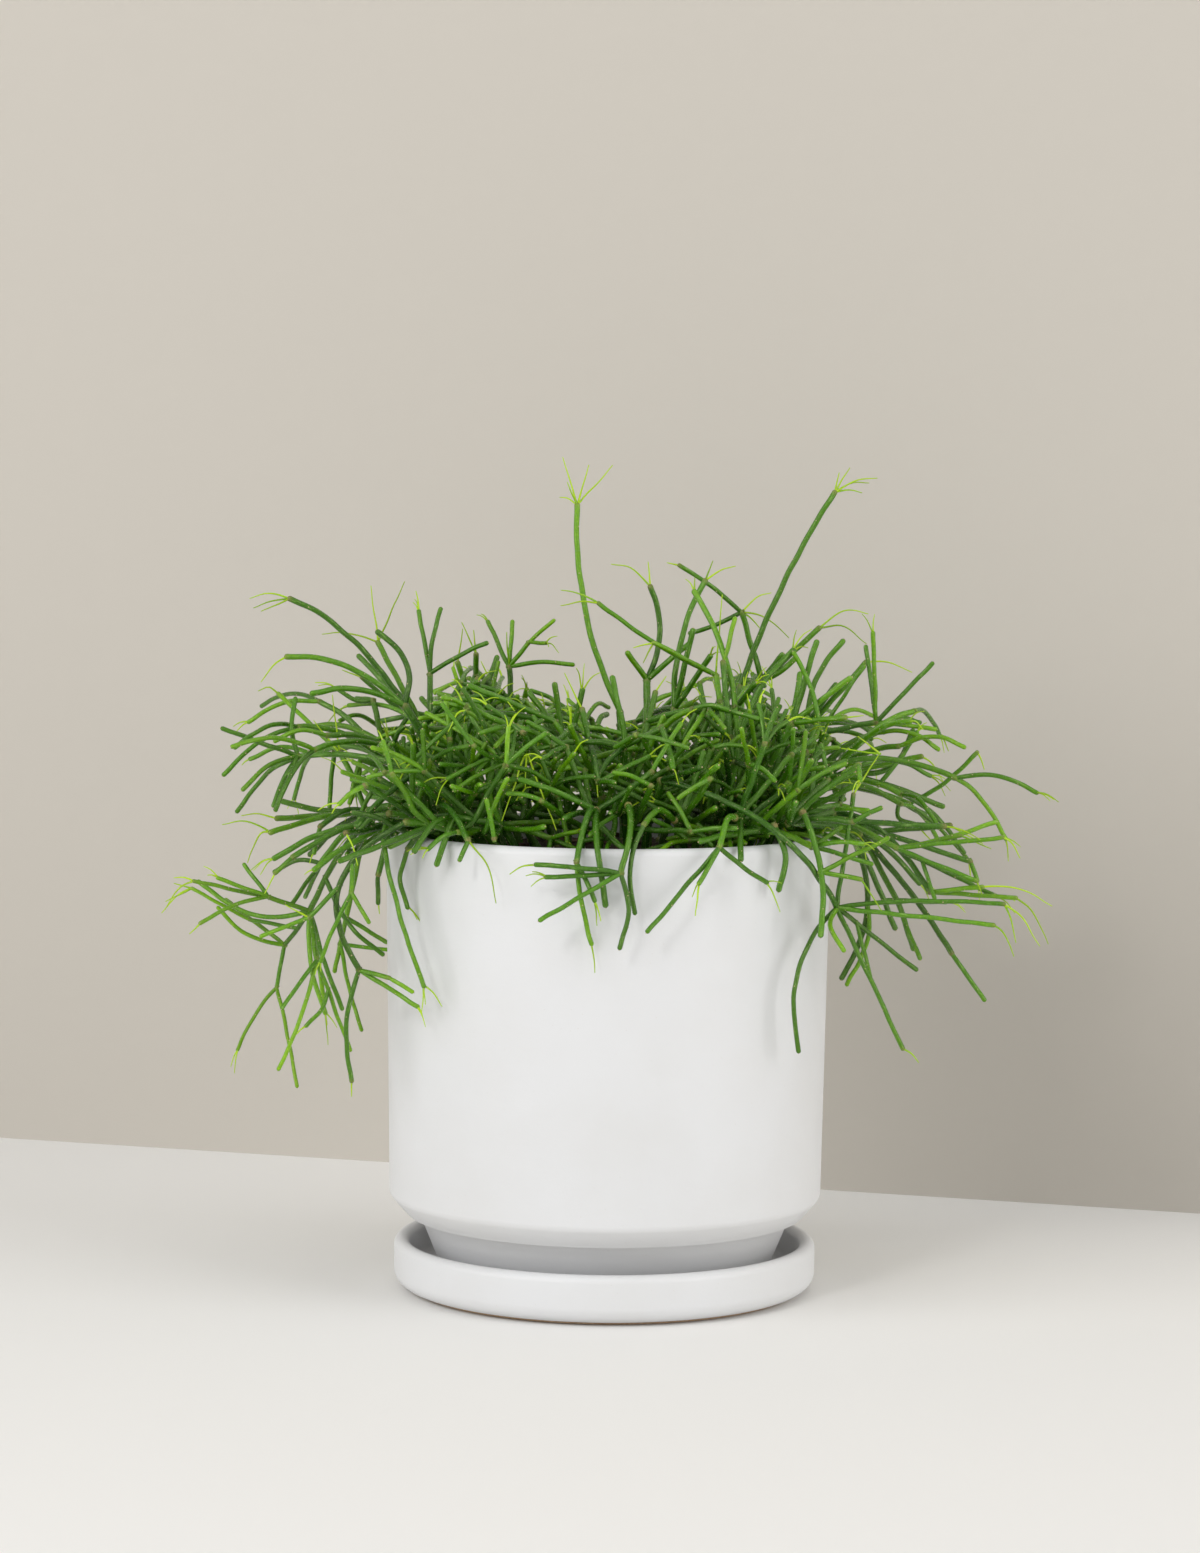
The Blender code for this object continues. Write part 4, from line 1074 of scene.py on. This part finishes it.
@dataclass
class Soil:
    """Potting mix with a lumpy top, bark chips and perlite."""

    steps: int = 96
    rings: int = 30
    lump: float = 1.6
    bark_count: int = 260
    perlite_count: int = 70
    floor_ring: float = 30.0
    seed: int = 11

    def edge(self) -> float:
        """The fill's radius at its top."""
        inner_low, inner_high = POT_LOW_RADIUS - POT_WALL - INNER_STEP, POT_TOP_RADIUS - POT_WALL
        low, high = INNER_LOW, RIM_TOP - POT_WALL / 2
        return inner_low + (inner_high - inner_low) * (SOIL_TOP - low) / (high - low) - CLEARANCE

    def top(self, x: float, y: float) -> float:
        """The height of the soil at a place, in millimetres."""
        out = min(math.hypot(x, y) / self.edge(), 1.0)
        lump = noise.fractal(Vector((x * 0.11, y * 0.11, 3.0)), 0.6, 2.2, 4) * self.lump
        return SOIL_TOP + SOIL_CROWN * (1 - out**2) + lump * (1 - out**6)

    def build(self) -> list[bpy.types.Object]:
        """Builds the fill and its crumbs."""
        edge = self.edge()
        tops = [(edge * k / self.rings, SOIL_TOP + SOIL_CROWN) for k in range(self.rings + 1)]
        floor = POT_BASE + POT_FLOOR + CLEARANCE
        below = [
            (POT_LOW_RADIUS - POT_WALL - INNER_STEP - CLEARANCE, INNER_LOW),
            (FOOT_NECK_RADIUS - POT_WALL - CLEARANCE, CHAMFER_BOTTOM + CLEARANCE),
            (FOOT_RADIUS - POT_WALL - CLEARANCE, floor),
            (self.floor_ring, floor),
            (0.0, floor),
        ]
        bm = turned(tops + below, self.steps)
        for vert in bm.verts:
            if vert.co.z > SOIL_TOP * MM:
                vert.co.z = self.top(vert.co.x / MM, vert.co.y / MM) * MM
        fill = finish_piece("potting_mix_fill", bm, (SoilFinish().make(),), sharp=60.0)
        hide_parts("soil")
        rng = random.Random(self.seed)
        bark = self.crumbs("bark_chips", rng, self.bark_count, (0.9, 2.6), 0.45,
                           GritFinish("bark_chip", (0.035, 0.02, 0.012), (0.17, 0.10, 0.055)))
        perlite = self.crumbs("perlite_grains", rng, self.perlite_count, (0.6, 1.4), 0.8,
                              GritFinish("perlite_grain", (0.55, 0.53, 0.50), (0.80, 0.79, 0.76)))
        pieces = [fill, bark, perlite]
        for piece in pieces:
            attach(piece, ROOT_BODY)
        return pieces

    def crumbs(self, name: str, rng: random.Random, count: int, sizes: tuple[float, float], flat: float,
               finish: GritFinish) -> bpy.types.Object:
        """Scatters crumbs that lie half sunk in the soil.

        Args:
            name: The piece's name.
            rng: The draws.
            count: How many crumbs.
            sizes: Smallest and largest radius.
            flat: A crumb's thickness against its width.
            finish: Its finish.

        Returns:
            All the crumbs as one piece.
        """
        bm = bmesh.new()
        reach = self.edge() - sizes[1] - 0.5
        for _ in range(count):
            out, turn = reach * math.sqrt(rng.random()), rng.uniform(0, math.tau)
            x, y = out * math.cos(turn), out * math.sin(turn)
            size = rng.uniform(*sizes)
            spin = Quaternion(Vector([rng.uniform(-1, 1) for _ in range(3)]).normalized(), rng.uniform(0, 0.7))
            spin = spin @ Quaternion((0, 0, 1), rng.uniform(0, math.tau))
            place = Matrix.Translation(Vector((x, y, self.top(x, y) + size * flat * 0.35)) * MM)
            shape = Matrix.Diagonal((size * rng.uniform(0.8, 1.7) * MM, size * MM, size * flat * MM, 1.0))
            made = bmesh.ops.create_icosphere(bm, subdivisions=1, radius=1.0,
                                              matrix=place @ spin.to_matrix().to_4x4() @ shape)
            for vert in made["verts"]:
                vert.co += Vector([rng.uniform(-0.14, 0.14) for _ in range(3)]) * size * MM
        return finish_piece(name, bm, (finish.make(),), sharp=25.0)


# ------------------------------------------------------------------------------------------------------
# Stems
# ------------------------------------------------------------------------------------------------------


@dataclass
class Path:
    """A stem's smooth centre line with what its skin needs, in millimetres."""

    places: np.ndarray
    radius: float
    age: float
    shade: float
    young: bool = False
    forks: bool = False
    buried: bool = False
    seed: float = 0.0


def smooth_line(points: np.ndarray, spacing: float, seed: float) -> np.ndarray:
    """A curve through points, a little wavy between its ends, with places at an even spacing.

    Args:
        points: The points in order.
        spacing: The wanted distance between places.
        seed: Picks the waves.

    Returns:
        The places, the first and last point among them.
    """
    ahead = np.vstack((points[:1] * 2 - points[1:2], points, points[-1:] * 2 - points[-2:-1]))
    dense = []
    for k in range(len(points) - 1):
        p0, p1, p2, p3 = ahead[k : k + 4]
        for t in np.linspace(0, 1, 8, endpoint=False):
            dense.append(0.5 * (2 * p1 + (p2 - p0) * t + (2 * p0 - 5 * p1 + 4 * p2 - p3) * t**2
                                + (3 * p1 - p0 - 3 * p2 + p3) * t**3))
    dense.append(points[-1])
    dense = np.array(dense)
    run = np.concatenate(([0.0], np.cumsum(np.linalg.norm(np.diff(dense, axis=0), axis=1))))
    count = max(2, round(run[-1] / spacing))
    at = np.linspace(0, run[-1], count + 1)
    places = np.stack([np.interp(at, run, dense[:, axis]) for axis in range(3)], axis=1)
    for k in range(1, count):
        sway = noise.noise_vector(Vector((at[k] * 0.11, seed * 3.1, 0.5)))
        places[k] += np.array(sway) * STEM_SWAY * min(1.0, at[k] / 4.0, (run[-1] - at[k]) / 4.0)
    return places


@dataclass
class StemSkin:
    """Turns centre lines into closed round stems, ring by ring, with domed ends and bristle cushions."""

    sides: int = 9
    young_sides: int = 7
    spacing: float = 1.7
    young_spacing: float = 1.6
    dome: tuple[float, ...] = (0.0, 28.0, 52.0, 70.0, 82.0)
    neck: float = 0.84
    neck_length: float = 4.5
    swell: float = 0.07
    taper: float = 0.90
    young_taper: float = 0.42
    cork_reach: float = 1.3
    areole_step: float = 6.0

    def radius_at(self, path: Path, run: float, length: float) -> float:
        """A stem's radius at a distance along it.

        Args:
            path: The stem.
            run: The distance from its start.
            length: Its whole length.

        Returns:
            The radius in millimetres.
        """
        share = run / length
        if path.young:
            return path.radius * (1 - (1 - self.young_taper) * share)
        base = path.radius * (1 - (1 - self.taper) * share)
        rise = min(run / self.neck_length, 1.0)
        neck = self.neck + (1 - self.neck) * rise * rise * (3 - 2 * rise)
        fall = max(0.0, 1 - (length - run) / (2.2 * self.neck_length))
        wave = 0.035 * noise.noise(Vector((run * 0.16, path.seed, 0.0)))
        return base * neck * (1 + self.swell * fall + wave)

    def add(self, target: bmesh.types.BMesh, path: Path) -> None:
        """Adds one stem to a mesh.

        Args:
            target: The mesh that takes the stem.
            path: The stem.
        """
        places = smooth_line(path.places, self.young_spacing if path.young else self.spacing, path.seed)
        steps = np.linalg.norm(np.diff(places, axis=0), axis=1)
        runs = np.concatenate(([0.0], np.cumsum(steps)))
        length = float(runs[-1])
        frames = self.frames(places)
        rings = [(frames[k], places[k], self.radius_at(path, float(runs[k]), length), float(runs[k]))
                 for k in range(len(places))]
        last_frame, last_place, last_radius, last_run = rings.pop()
        forward = last_frame @ Vector((0, 0, 1))
        for angle in self.dome:
            lift = last_radius * math.sin(math.radians(angle)) * 0.9
            rings.append((last_frame, last_place + np.array(forward) * lift,
                          last_radius * math.cos(math.radians(angle)), last_run + lift))
        bm = bmesh.new()
        layers = scatter_layers(bm)
        sides = self.young_sides if path.young else self.sides
        verts = bmesh.ops.create_circle(bm, cap_ends=True, segments=sides, radius=1.0)["verts"]
        edges = list(bm.edges)
        before = Matrix.Identity(4)
        for k, (frame_turn, place, radius, run) in enumerate(rings):
            if k:
                geom = bmesh.ops.extrude_edge_only(bm, edges=edges)["geom"]
                verts = [g for g in geom if isinstance(g, bmesh.types.BMVert)]
                edges = [g for g in geom if isinstance(g, bmesh.types.BMEdge)]
            now = (Matrix.Translation(Vector(place) * MM) @ frame_turn.to_matrix().to_4x4()
                   @ Matrix.Diagonal((radius * MM, radius * MM, radius * MM, 1.0)))
            bmesh.ops.transform(bm, matrix=now @ before.inverted(), verts=verts)
            before = now
            self.mark(verts, layers, path, now, radius, run, length)
        bmesh.ops.edgeloop_fill(bm, edges=edges)
        bmesh.ops.recalc_face_normals(bm, faces=bm.faces)
        self.areoles(bm, layers, path, rings, length)
        store = bpy.data.meshes.new("stem")
        bm.to_mesh(store)
        bm.free()
        target.from_mesh(store)
        bpy.data.meshes.remove(store)

    def frames(self, places: np.ndarray) -> list[Quaternion]:
        """Turns without twist whose Z follows a line."""
        ahead = [Vector(v) for v in np.gradient(places, axis=0)]
        made = [Vector((0, 0, 1)).rotation_difference(ahead[0])]
        for one, two in zip(ahead, ahead[1:]):
            made.append(one.rotation_difference(two) @ made[-1])
        return made

    def mark(self, verts: list, layers: dict, path: Path, now: Matrix, radius: float, run: float,
             length: float) -> None:
        """Writes a ring's values for the skin.

        Args:
            verts: The ring.
            layers: The value layers.
            path: The stem.
            now: The ring's placing.
            radius: Its radius.
            run: Its distance along the stem.
            length: The stem's length.
        """
        back = now.inverted()
        start = max(0.0, 1 - run / self.cork_reach)
        end = max(0.0, 1 - (length - run) / self.cork_reach) if path.forks else 0.0
        cork = 0.0 if path.young else 0.5 * max(start, end) * path.age
        for vert in verts:
            local = back @ vert.co
            vert[layers["grain"]] = Vector((local.x * radius, local.y * radius, run + path.seed * 37.0)) * MM
            vert[layers["age"]] = max(0.0, path.age - 0.14 * run / length)
            vert[layers["cork"]] = cork
            vert[layers["shade"]] = path.shade

    def areoles(self, bm: bmesh.types.BMesh, layers: dict, path: Path, rings: list, length: float) -> None:
        """Sets small felt cushions round a stem, and one on its end.

        Args:
            bm: The stem's mesh.
            layers: The value layers; not used.
            path: The stem.
            rings: Its rings.
            length: Its length.
        """
        if path.young or path.buried:
            return
        rng = random.Random(round(path.seed * 1000))
        seats, run, turn = [], rng.uniform(2.5, 5.0), rng.uniform(0, math.tau)
        while run < length - 2.0:
            ring = min(rings, key=lambda r: abs(r[3] - run))
            side = ring[0] @ Vector((math.cos(turn), math.sin(turn), 0.0))
            seats.append((Vector(ring[1]) + side * ring[2], side, rng.uniform(0.18, 0.34)))
            run += self.areole_step * rng.uniform(0.7, 1.3)
            turn += 2.4
        if not path.forks:
            end = rings[-1]
            seats.append((Vector(end[1]), end[0] @ Vector((0, 0, 1)), 0.36 * path.radius))
        for place, side, size in seats:
            turn_out = Vector((0, 0, 1)).rotation_difference(side).to_matrix().to_4x4()
            made = bmesh.ops.create_cone(bm, cap_ends=True, segments=6, radius1=size * MM, radius2=size * 0.45 * MM,
                                         depth=size * 1.1 * MM,
                                         matrix=Matrix.Translation(place * MM) @ turn_out)
            faces = {face for vert in made["verts"] for face in vert.link_faces}
            for face in faces:
                face.material_index = 1


class Generation(Enum):
    """How old a stem's green looks, by its place in the shoot."""

    FIRST = 0.92
    SECOND = 0.82
    THIRD = 0.72
    FOURTH = 0.60
    LATER = 0.48

    @classmethod
    def of(cls, level: int) -> float:
        """The age of a level."""
        return list(cls)[min(level, 4)].value


# Side stems at the crown's edges: each starts at the stem nearest to its x and z, and its y counts from there.
TWIGS = (
    # Left side.
    ((-96, 178), stem(-99, 0, 165, stem(-111, 4, 138, via=(-106, 2, 151)), stem(-92, -4, 154))),
    ((-104, 165), stem(-115, -3, 155, stem(-133, -6, 148), tip(-124, -4, 160))),
    ((-122, 180), stem(-129, -2, 171, tip(-133, -2, 163))),
    ((-113, 131), stem(-90, -2, 131)),
    ((-104, 125), stem(-117, -3, 111, via=(-110, -2, 120))),
    ((-110, 130), stem(-101, 3, 97, via=(-105, 2, 110))),
    ((-120, 150), stem(-142, 5, 149, stem(-165, 7, 161, tip(-177, 8, 151, arch=2), tip(-172, 6, 163),
                                          tip(-175, 4, 156)))),
    ((-130, 136), stem(-154, -5, 154, via=(-142, -3, 143))),
    ((-118, 156), stem(-104, -5, 116, via=(-112, -3, 137))),
    ((-116, 158), stem(-112, 5, 119)),
    ((-112, 160), stem(-88, -4, 138, via=(-99, -3, 147))),
    ((-88, 226), stem(-104, -3, 241, tip(-112, -4, 244))),
    ((-63, 232), stem(-64, 0, 247)),
    ((-51, 235), stem(-46, 2, 249)),
    ((-35, 220), stem(-50, -3, 240, tip(-54, -3, 248), tip(-47, -3, 249))),
    # Right side.
    ((20, 238), tip(22, 0, 247)),
    ((45, 255), stem(49, 2, 270)),
    ((84, 230), stem(72, 3, 257, via=(80, 2, 240))),
    ((63, 241), stem(75, -3, 253)),
    ((85, 228), stem(104, -3, 250, via=(95, -2, 238))),
    ((48, 212), stem(80, -4, 214, stem(96, -6, 221, tip(113, -6, 222), tip(105, -7, 218)), via=(63, -2, 209))),
    ((110, 203), stem(123, 2, 225, via=(115, 1, 212))),
    ((80, 196), stem(94, -5, 203)),
    ((100, 184), stem(135, -5, 189, tip(148, -6, 182), via=(115, -3, 187))),
    ((122, 193), stem(128, -4, 183, tip(136, -5, 175), via=(120, -3, 186))),
    ((125, 182), stem(138, 2, 186, tip(150, 2, 181))),
    ((125, 190), stem(149, 4, 169, tip(150, 4, 160), via=(137, 3, 182))),
    ((122, 177), stem(128, -3, 162)),
    ((110, 152), stem(138, 3, 154)),
    ((118, 152), stem(124, -3, 136)),
    ((107, 155), stem(97, -3, 120, via=(104, -2, 135))),
    ((101, 150), stem(103, 3, 130)),
    ((80, 179), stem(107, -2, 188)),
    ((82, 178), stem(97, -2, 172, tip(105, -2, 160))),
)


@dataclass(frozen=True)
class SideGrowth:
    """Short side stems that thicken the heart of the crown once the main shoots have their places."""

    count: int = 450
    seed: int = 21
    length: tuple[float, float] = (18.0, 40.0)
    fork_length: tuple[float, float] = (10.0, 24.0)
    heart: tuple[float, float, float] = (76.0, -62.0, 96.0)
    reach: tuple[float, float, float] = (104.0, -80.0, 122.0)
    low: float = 177.0
    high: float = 224.0
    rise: float = 0.38
    rise_end: float = 58.0
    fall: float = 0.75
    fade: float = 18.0
    tries: int = 12

    def add(self, branches: Branches, places: np.ndarray) -> None:
        """Adds side stems to the grown shoots, whose points are pinned.

        Args:
            branches: The shoots. Their points are moved to their places.
            places: Every point's place.
        """
        rng = random.Random(self.seed)
        branches.points = [tuple(place) for place in places]
        branches.pinned = [True] * len(places)
        ends = np.array([pair for line in branches.lines for pair in zip(line.points, line.points[1:])])
        taken = [places, (places[ends[:, 0]] + places[ends[:, 1]]) / 2]
        seats = [
            (line, number, k)
            for line in branches.lines
            for k, number in enumerate(line.points[1:], 1)
            if not line.young and line.level < 3 and self.inside(places[number], self.heart)
        ]
        self.add_twigs(branches, places)
        low_first = [0.10 + math.exp((self.low - places[number][2]) / self.fade) for _, number, _ in seats]
        for line, number, k in rng.choices(seats, low_first, k=self.count):
            here, before = Vector(places[number]), Vector(places[line.points[k - 1]])
            outward = Vector((here.x, here.y, 0.0)).normalized()
            way = (here - before).normalized() * 0.6 + outward * 0.25 + Vector((0, 0, 0.3))
            level = min(max(line.level, 1), 3)
            end = self.clear_end(rng, here, way, 0.75, self.length, taken)
            if end is None:
                continue
            kids = []
            for _ in range(rng.choice((0, 0, 1, 2, 3)) if level < 3 else 0):
                further = self.clear_end(rng, end, (end - here).normalized(), 0.5, self.fork_length, taken)
                if further is not None:
                    kids.append(Stem(tuple(further), (), rng.uniform(0.0, 1.5)))
            grown = Stem(tuple(end), tuple(kids), rng.uniform(-1.0, 2.0))
            branches.add_stem(line.shoot, number, grown, level, np.zeros(3))

    def add_twigs(self, branches: Branches, places: np.ndarray) -> None:
        """Adds the side stems at the crown's edges.

        Args:
            branches: The shoots.
            places: Every grown point's place.
        """
        seats = [(line, number) for line in branches.lines for number in line.points[1:] if not line.young]
        spots = np.array([places[number] for _, number in seats])
        for (x, z), grown in TWIGS:
            line, number = seats[int(np.argmin(np.hypot(spots[:, 0] - x, spots[:, 2] - z)))]
            shift = np.array((0.0, places[number][1], 0.0))
            branches.add_stem(line.shoot, number, grown, min(line.level + 1, 3), shift)

    def inside(self, place: np.ndarray | Vector, bounds: tuple[float, float, float]) -> bool:
        """Whether a place is over the planter, between side, front and back bounds, under a top that dips midway."""
        side, front, back = bounds
        out = abs(place[0])
        high = self.high + self.rise * min(out, self.rise_end) - self.fall * max(out - self.rise_end, 0.0)
        return abs(place[0]) < side and front < place[1] < back and self.low < place[2] < high

    def clear_end(self, rng: random.Random, start: Vector, way: Vector, spread: float, length: tuple[float, float],
                  taken: list[np.ndarray]) -> Vector | None:
        """Where a straight stem from a place may end so that it stays clear of the others.

        Args:
            rng: The draws.
            start: The place.
            way: The direction it favours.
            spread: How far it may turn from that direction.
            length: Its shortest and longest length.
            taken: Places on the stems so far. The new stem's are added.

        Returns:
            The end, or None if there is no room for it over the planter.
        """
        others = np.concatenate(taken)
        near = others[np.linalg.norm(others - np.array(start), axis=1) < length[1] + 6.0]
        best, most = None, 0.0
        for _ in range(self.tries):
            side = Vector([rng.gauss(0.0, spread) for _ in range(3)])
            end = start + (way + side).normalized() * rng.uniform(*length)
            if not self.inside(end, self.reach):
                continue
            line = np.array([start.lerp(end, share) for share in (0.3, 0.45, 0.6, 0.8, 1.0)])
            room = np.linalg.norm(line[:, None, :] - near[None, :, :], axis=2).min()
            if room > most:
                best, most, chosen = end, room, line
        if best is not None:
            taken.append(chosen)
        return best


@dataclass
class Plant:
    """The whole crown of shoots."""

    skin: StemSkin = field(default_factory=StemSkin)
    overlap: float = 1.5
    seed: int = 3
    sprout_share: float = 0.28
    sprout_radius: float = 0.42

    def grow(self) -> tuple[Branches, np.ndarray]:
        """Grows every shoot, makes room for its stems, and then adds the side growth."""
        branches = Branches()
        for name, (root, back, first) in spread_roots({**SHOOTS, **fill_shoots()}).items():
            branches.add_shoot(name, root, back, first)
        places = Room().make(branches)
        SideGrowth().add(branches, places)
        return branches, Room(rounds=140, last_rounds=30).make(branches)

    def paths(self, lines: list[Line], places: np.ndarray, rng: random.Random) -> list[Path]:
        """The stems of one shoot, with small new sprouts on some ends.

        Args:
            lines: The shoot's centre lines, its root first.
            places: Every point's place.
            rng: The draws.

        Returns:
            The shoot's stems.
        """
        starts = {line.points[0] for line in lines}
        made = []
        for number, line in enumerate(lines):
            points = places[line.points].copy()
            root = number == 0
            if not root:
                along = points[1] - points[0]
                points[0] = points[0] - along / np.linalg.norm(along) * min(self.overlap, 1.3 * line.radius)
            age = 0.12 if line.young else Generation.of(line.level)
            age = min(1.0, max(0.0, age + rng.uniform(-0.20, 0.20)))
            forks = line.points[-1] in starts
            made.append(Path(points, ROOT_RADIUS if root else line.radius, 1.0 if root else age, rng.random(),
                             young=line.young, forks=forks, buried=root, seed=rng.uniform(0.0, 100.0)))
            if not forks and not line.young and rng.random() < self.sprout_share:
                made += self.sprouts(points, age, rng)
        return made

    def sprouts(self, points: np.ndarray, age: float, rng: random.Random) -> list[Path]:
        """Thin new growths on a stem's end.

        Args:
            points: The stem's points.
            age: Its age; not used.
            rng: The draws.

        Returns:
            One to three sprouts.
        """
        end = Vector(points[-1])
        ahead = Vector(points[-1] - points[-2]).normalized()
        made = []
        for _ in range(rng.choice((1, 2, 2, 3))):
            side = ahead.cross(Vector([rng.uniform(-1, 1) for _ in range(3)])).normalized()
            out = (ahead + side * rng.uniform(0.15, 0.8)).normalized()
            length = rng.uniform(4.0, 12.0)
            middle = end + out * length * 0.5 + Vector((0, 0, 0.10 * length))
            last = end + out * length - Vector((0, 0, 0.06 * length))
            made.append(Path(np.array([end - ahead * 0.6, middle, last]), self.sprout_radius * rng.uniform(0.8, 1.1),
                             rng.uniform(0.0, 0.18), rng.random(), young=True, seed=rng.uniform(0.0, 100.0)))
        return made

    def build(self) -> list[bpy.types.Object]:
        """Builds one piece for each shoot."""
        branches, places = self.grow()
        materials = (StemFinish().make(), AreoleFinish().make())
        rng = random.Random(self.seed)
        pieces = []
        shoots = list(dict.fromkeys(line.shoot for line in branches.lines))
        for shoot in shoots:
            bm = bmesh.new()
            scatter_layers(bm)
            for path in self.paths([line for line in branches.lines if line.shoot == shoot], places, rng):
                self.skin.add(bm, path)
            piece = finish_piece(f"stems_{shoot}", bm, materials, sharp=70.0)
            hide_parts(f"shoot_{shoot}")
            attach(piece, ROOT_BODY)
            pieces.append(piece)
        return pieces


# ------------------------------------------------------------------------------------------------------
# Room, light and camera
# ------------------------------------------------------------------------------------------------------


WHITE = (1.0, 1.0, 1.0)


@dataclass(frozen=True)
class SoftLight:
    """A square soft light: where it stands, what it points at, its side in metres and its power in watts."""

    name: str
    place: Point
    aim: Point
    size: float
    power: float
    colour: Colour = WHITE

    def add(self) -> None:
        """Adds the light to the scene."""
        data = bpy.data.lights.new(self.name, "AREA")
        data.shape, data.size, data.energy, data.color = "SQUARE", self.size, self.power, self.colour
        obj = bpy.data.objects.new(self.name, data)
        obj.location = self.place
        obj.rotation_mode = "QUATERNION"
        obj.rotation_quaternion = (Vector(self.aim) - Vector(self.place)).to_track_quat("-Z", "Y")
        bpy.context.scene.collection.objects.link(obj)


LIGHTS = (
    SoftLight("window_light", (-2.0, -1.3, 0.9), (0.0, 0.0, 0.15), 1.7, 29.0),
    SoftLight("fill_light", (1.8, -1.1, 0.7), (0.0, 0.0, 0.15), 1.4, 22.0),
    SoftLight("lamp_light", (-0.8, -1.5, 1.2), (0.0, 0.0, 0.2), 0.30, 7.0),
    SoftLight("overhead_light", (0.1, -0.5, 1.9), (0.0, 0.0, 0.1), 1.4, 6.0),
)


@dataclass
class Studio:
    """Pale table, plain wall, soft light and a camera that looks a little down on the rim."""

    table_colour: Colour = (0.84, 0.83, 0.81)
    wall_colour: Colour = (0.525, 0.492, 0.440)
    wall_left: tuple[float, float] = (-0.29, 0.343)
    wall_right: tuple[float, float] = (0.26, 0.175)
    reach: float = 2.6
    wall_height: float = 2.4
    camera_distance: float = 1.5733
    camera_height: float = 0.3189
    camera_side: float = -0.0037
    tilt_down: float = 4.114
    roll: float = 0.6
    lens: float = 91.3
    room_light: float = 0.34

    def build(self) -> None:
        """Builds the room, the lights and the camera."""
        self.table()
        self.wall()
        self.lights()
        self.camera()

    def table(self) -> bpy.types.Object:
        """A wide flat table top just under the saucer."""
        bm = bmesh.new()
        bmesh.ops.create_grid(bm, x_segments=4, y_segments=4, size=self.reach)
        bmesh.ops.translate(bm, verts=bm.verts, vec=(0, 0, -0.0002))
        made = finish_piece("table_top", bm, (StageFinish("pale_table", self.table_colour).make(),))
        return made

    def wall(self) -> bpy.types.Object:
        """A plain wall behind the table, turned a little to the camera."""
        left, right = Vector((*self.wall_left, 0.0)), Vector((*self.wall_right, 0.0))
        along = (right - left).normalized()
        bm = bmesh.new()
        bmesh.ops.create_grid(bm, x_segments=4, y_segments=4, size=0.5)
        middle = (left + right) / 2
        turn = Matrix((along, Vector((0, 0, 1)), along.cross(Vector((0, 0, 1))))).transposed().to_4x4()
        shape = Matrix.Diagonal((2 * self.reach, self.wall_height, 1.0, 1.0))
        lift = Matrix.Translation(middle + Vector((0, 0, self.wall_height / 2 - 0.001)))
        bmesh.ops.transform(bm, matrix=lift @ turn @ shape, verts=bm.verts)
        made = finish_piece("plain_wall", bm, (StageFinish("warm_grey_wall", self.wall_colour, one_sided=True).make(),))
        return made

    def lights(self) -> None:
        """Adds the lights and the room's own even light."""
        for light in LIGHTS:
            light.add()
        world = bpy.context.scene.world or bpy.data.worlds.new("room_light")
        bpy.context.scene.world = world
        world.use_nodes = True
        room = world.node_tree.nodes["Background"]
        room.inputs["Color"].default_value = (*WHITE, 1.0)
        room.inputs["Strength"].default_value = self.room_light

    def camera(self) -> None:
        """Sets the camera."""
        data = bpy.data.cameras.new("view")
        data.lens, data.sensor_width, data.clip_start, data.clip_end = self.lens, 36.0, 0.05, 20.0
        obj = bpy.data.objects.new("view", data)
        bpy.context.scene.collection.objects.link(obj)
        tilt = Matrix.Rotation(math.radians(90 - self.tilt_down), 4, "X")
        place = Matrix.Translation((self.camera_side, -self.camera_distance, self.camera_height))
        obj.matrix_world = place @ tilt @ Matrix.Rotation(math.radians(self.roll), 4, "Z")
        bpy.context.scene.camera = obj


def main() -> None:
    """Builds the object's pieces in order, then the room around it."""
    logging.basicConfig(level=logging.INFO, format="%(name)s: %(message)s")
    bpy.context.scene.view_settings.view_transform = "Standard"
    noise.seed_set(SWAY_SEED)
    for maker in (Saucer(), Planter()):
        LOG.info("%s built", maker.build().name)
    for piece in Soil().build():
        LOG.info("%s built", piece.name)
    for piece in Plant().build():
        LOG.info("%s built, %d faces", piece.name, len(piece.data.polygons))
    Studio().build()


if __name__ == "__main__":
    main()
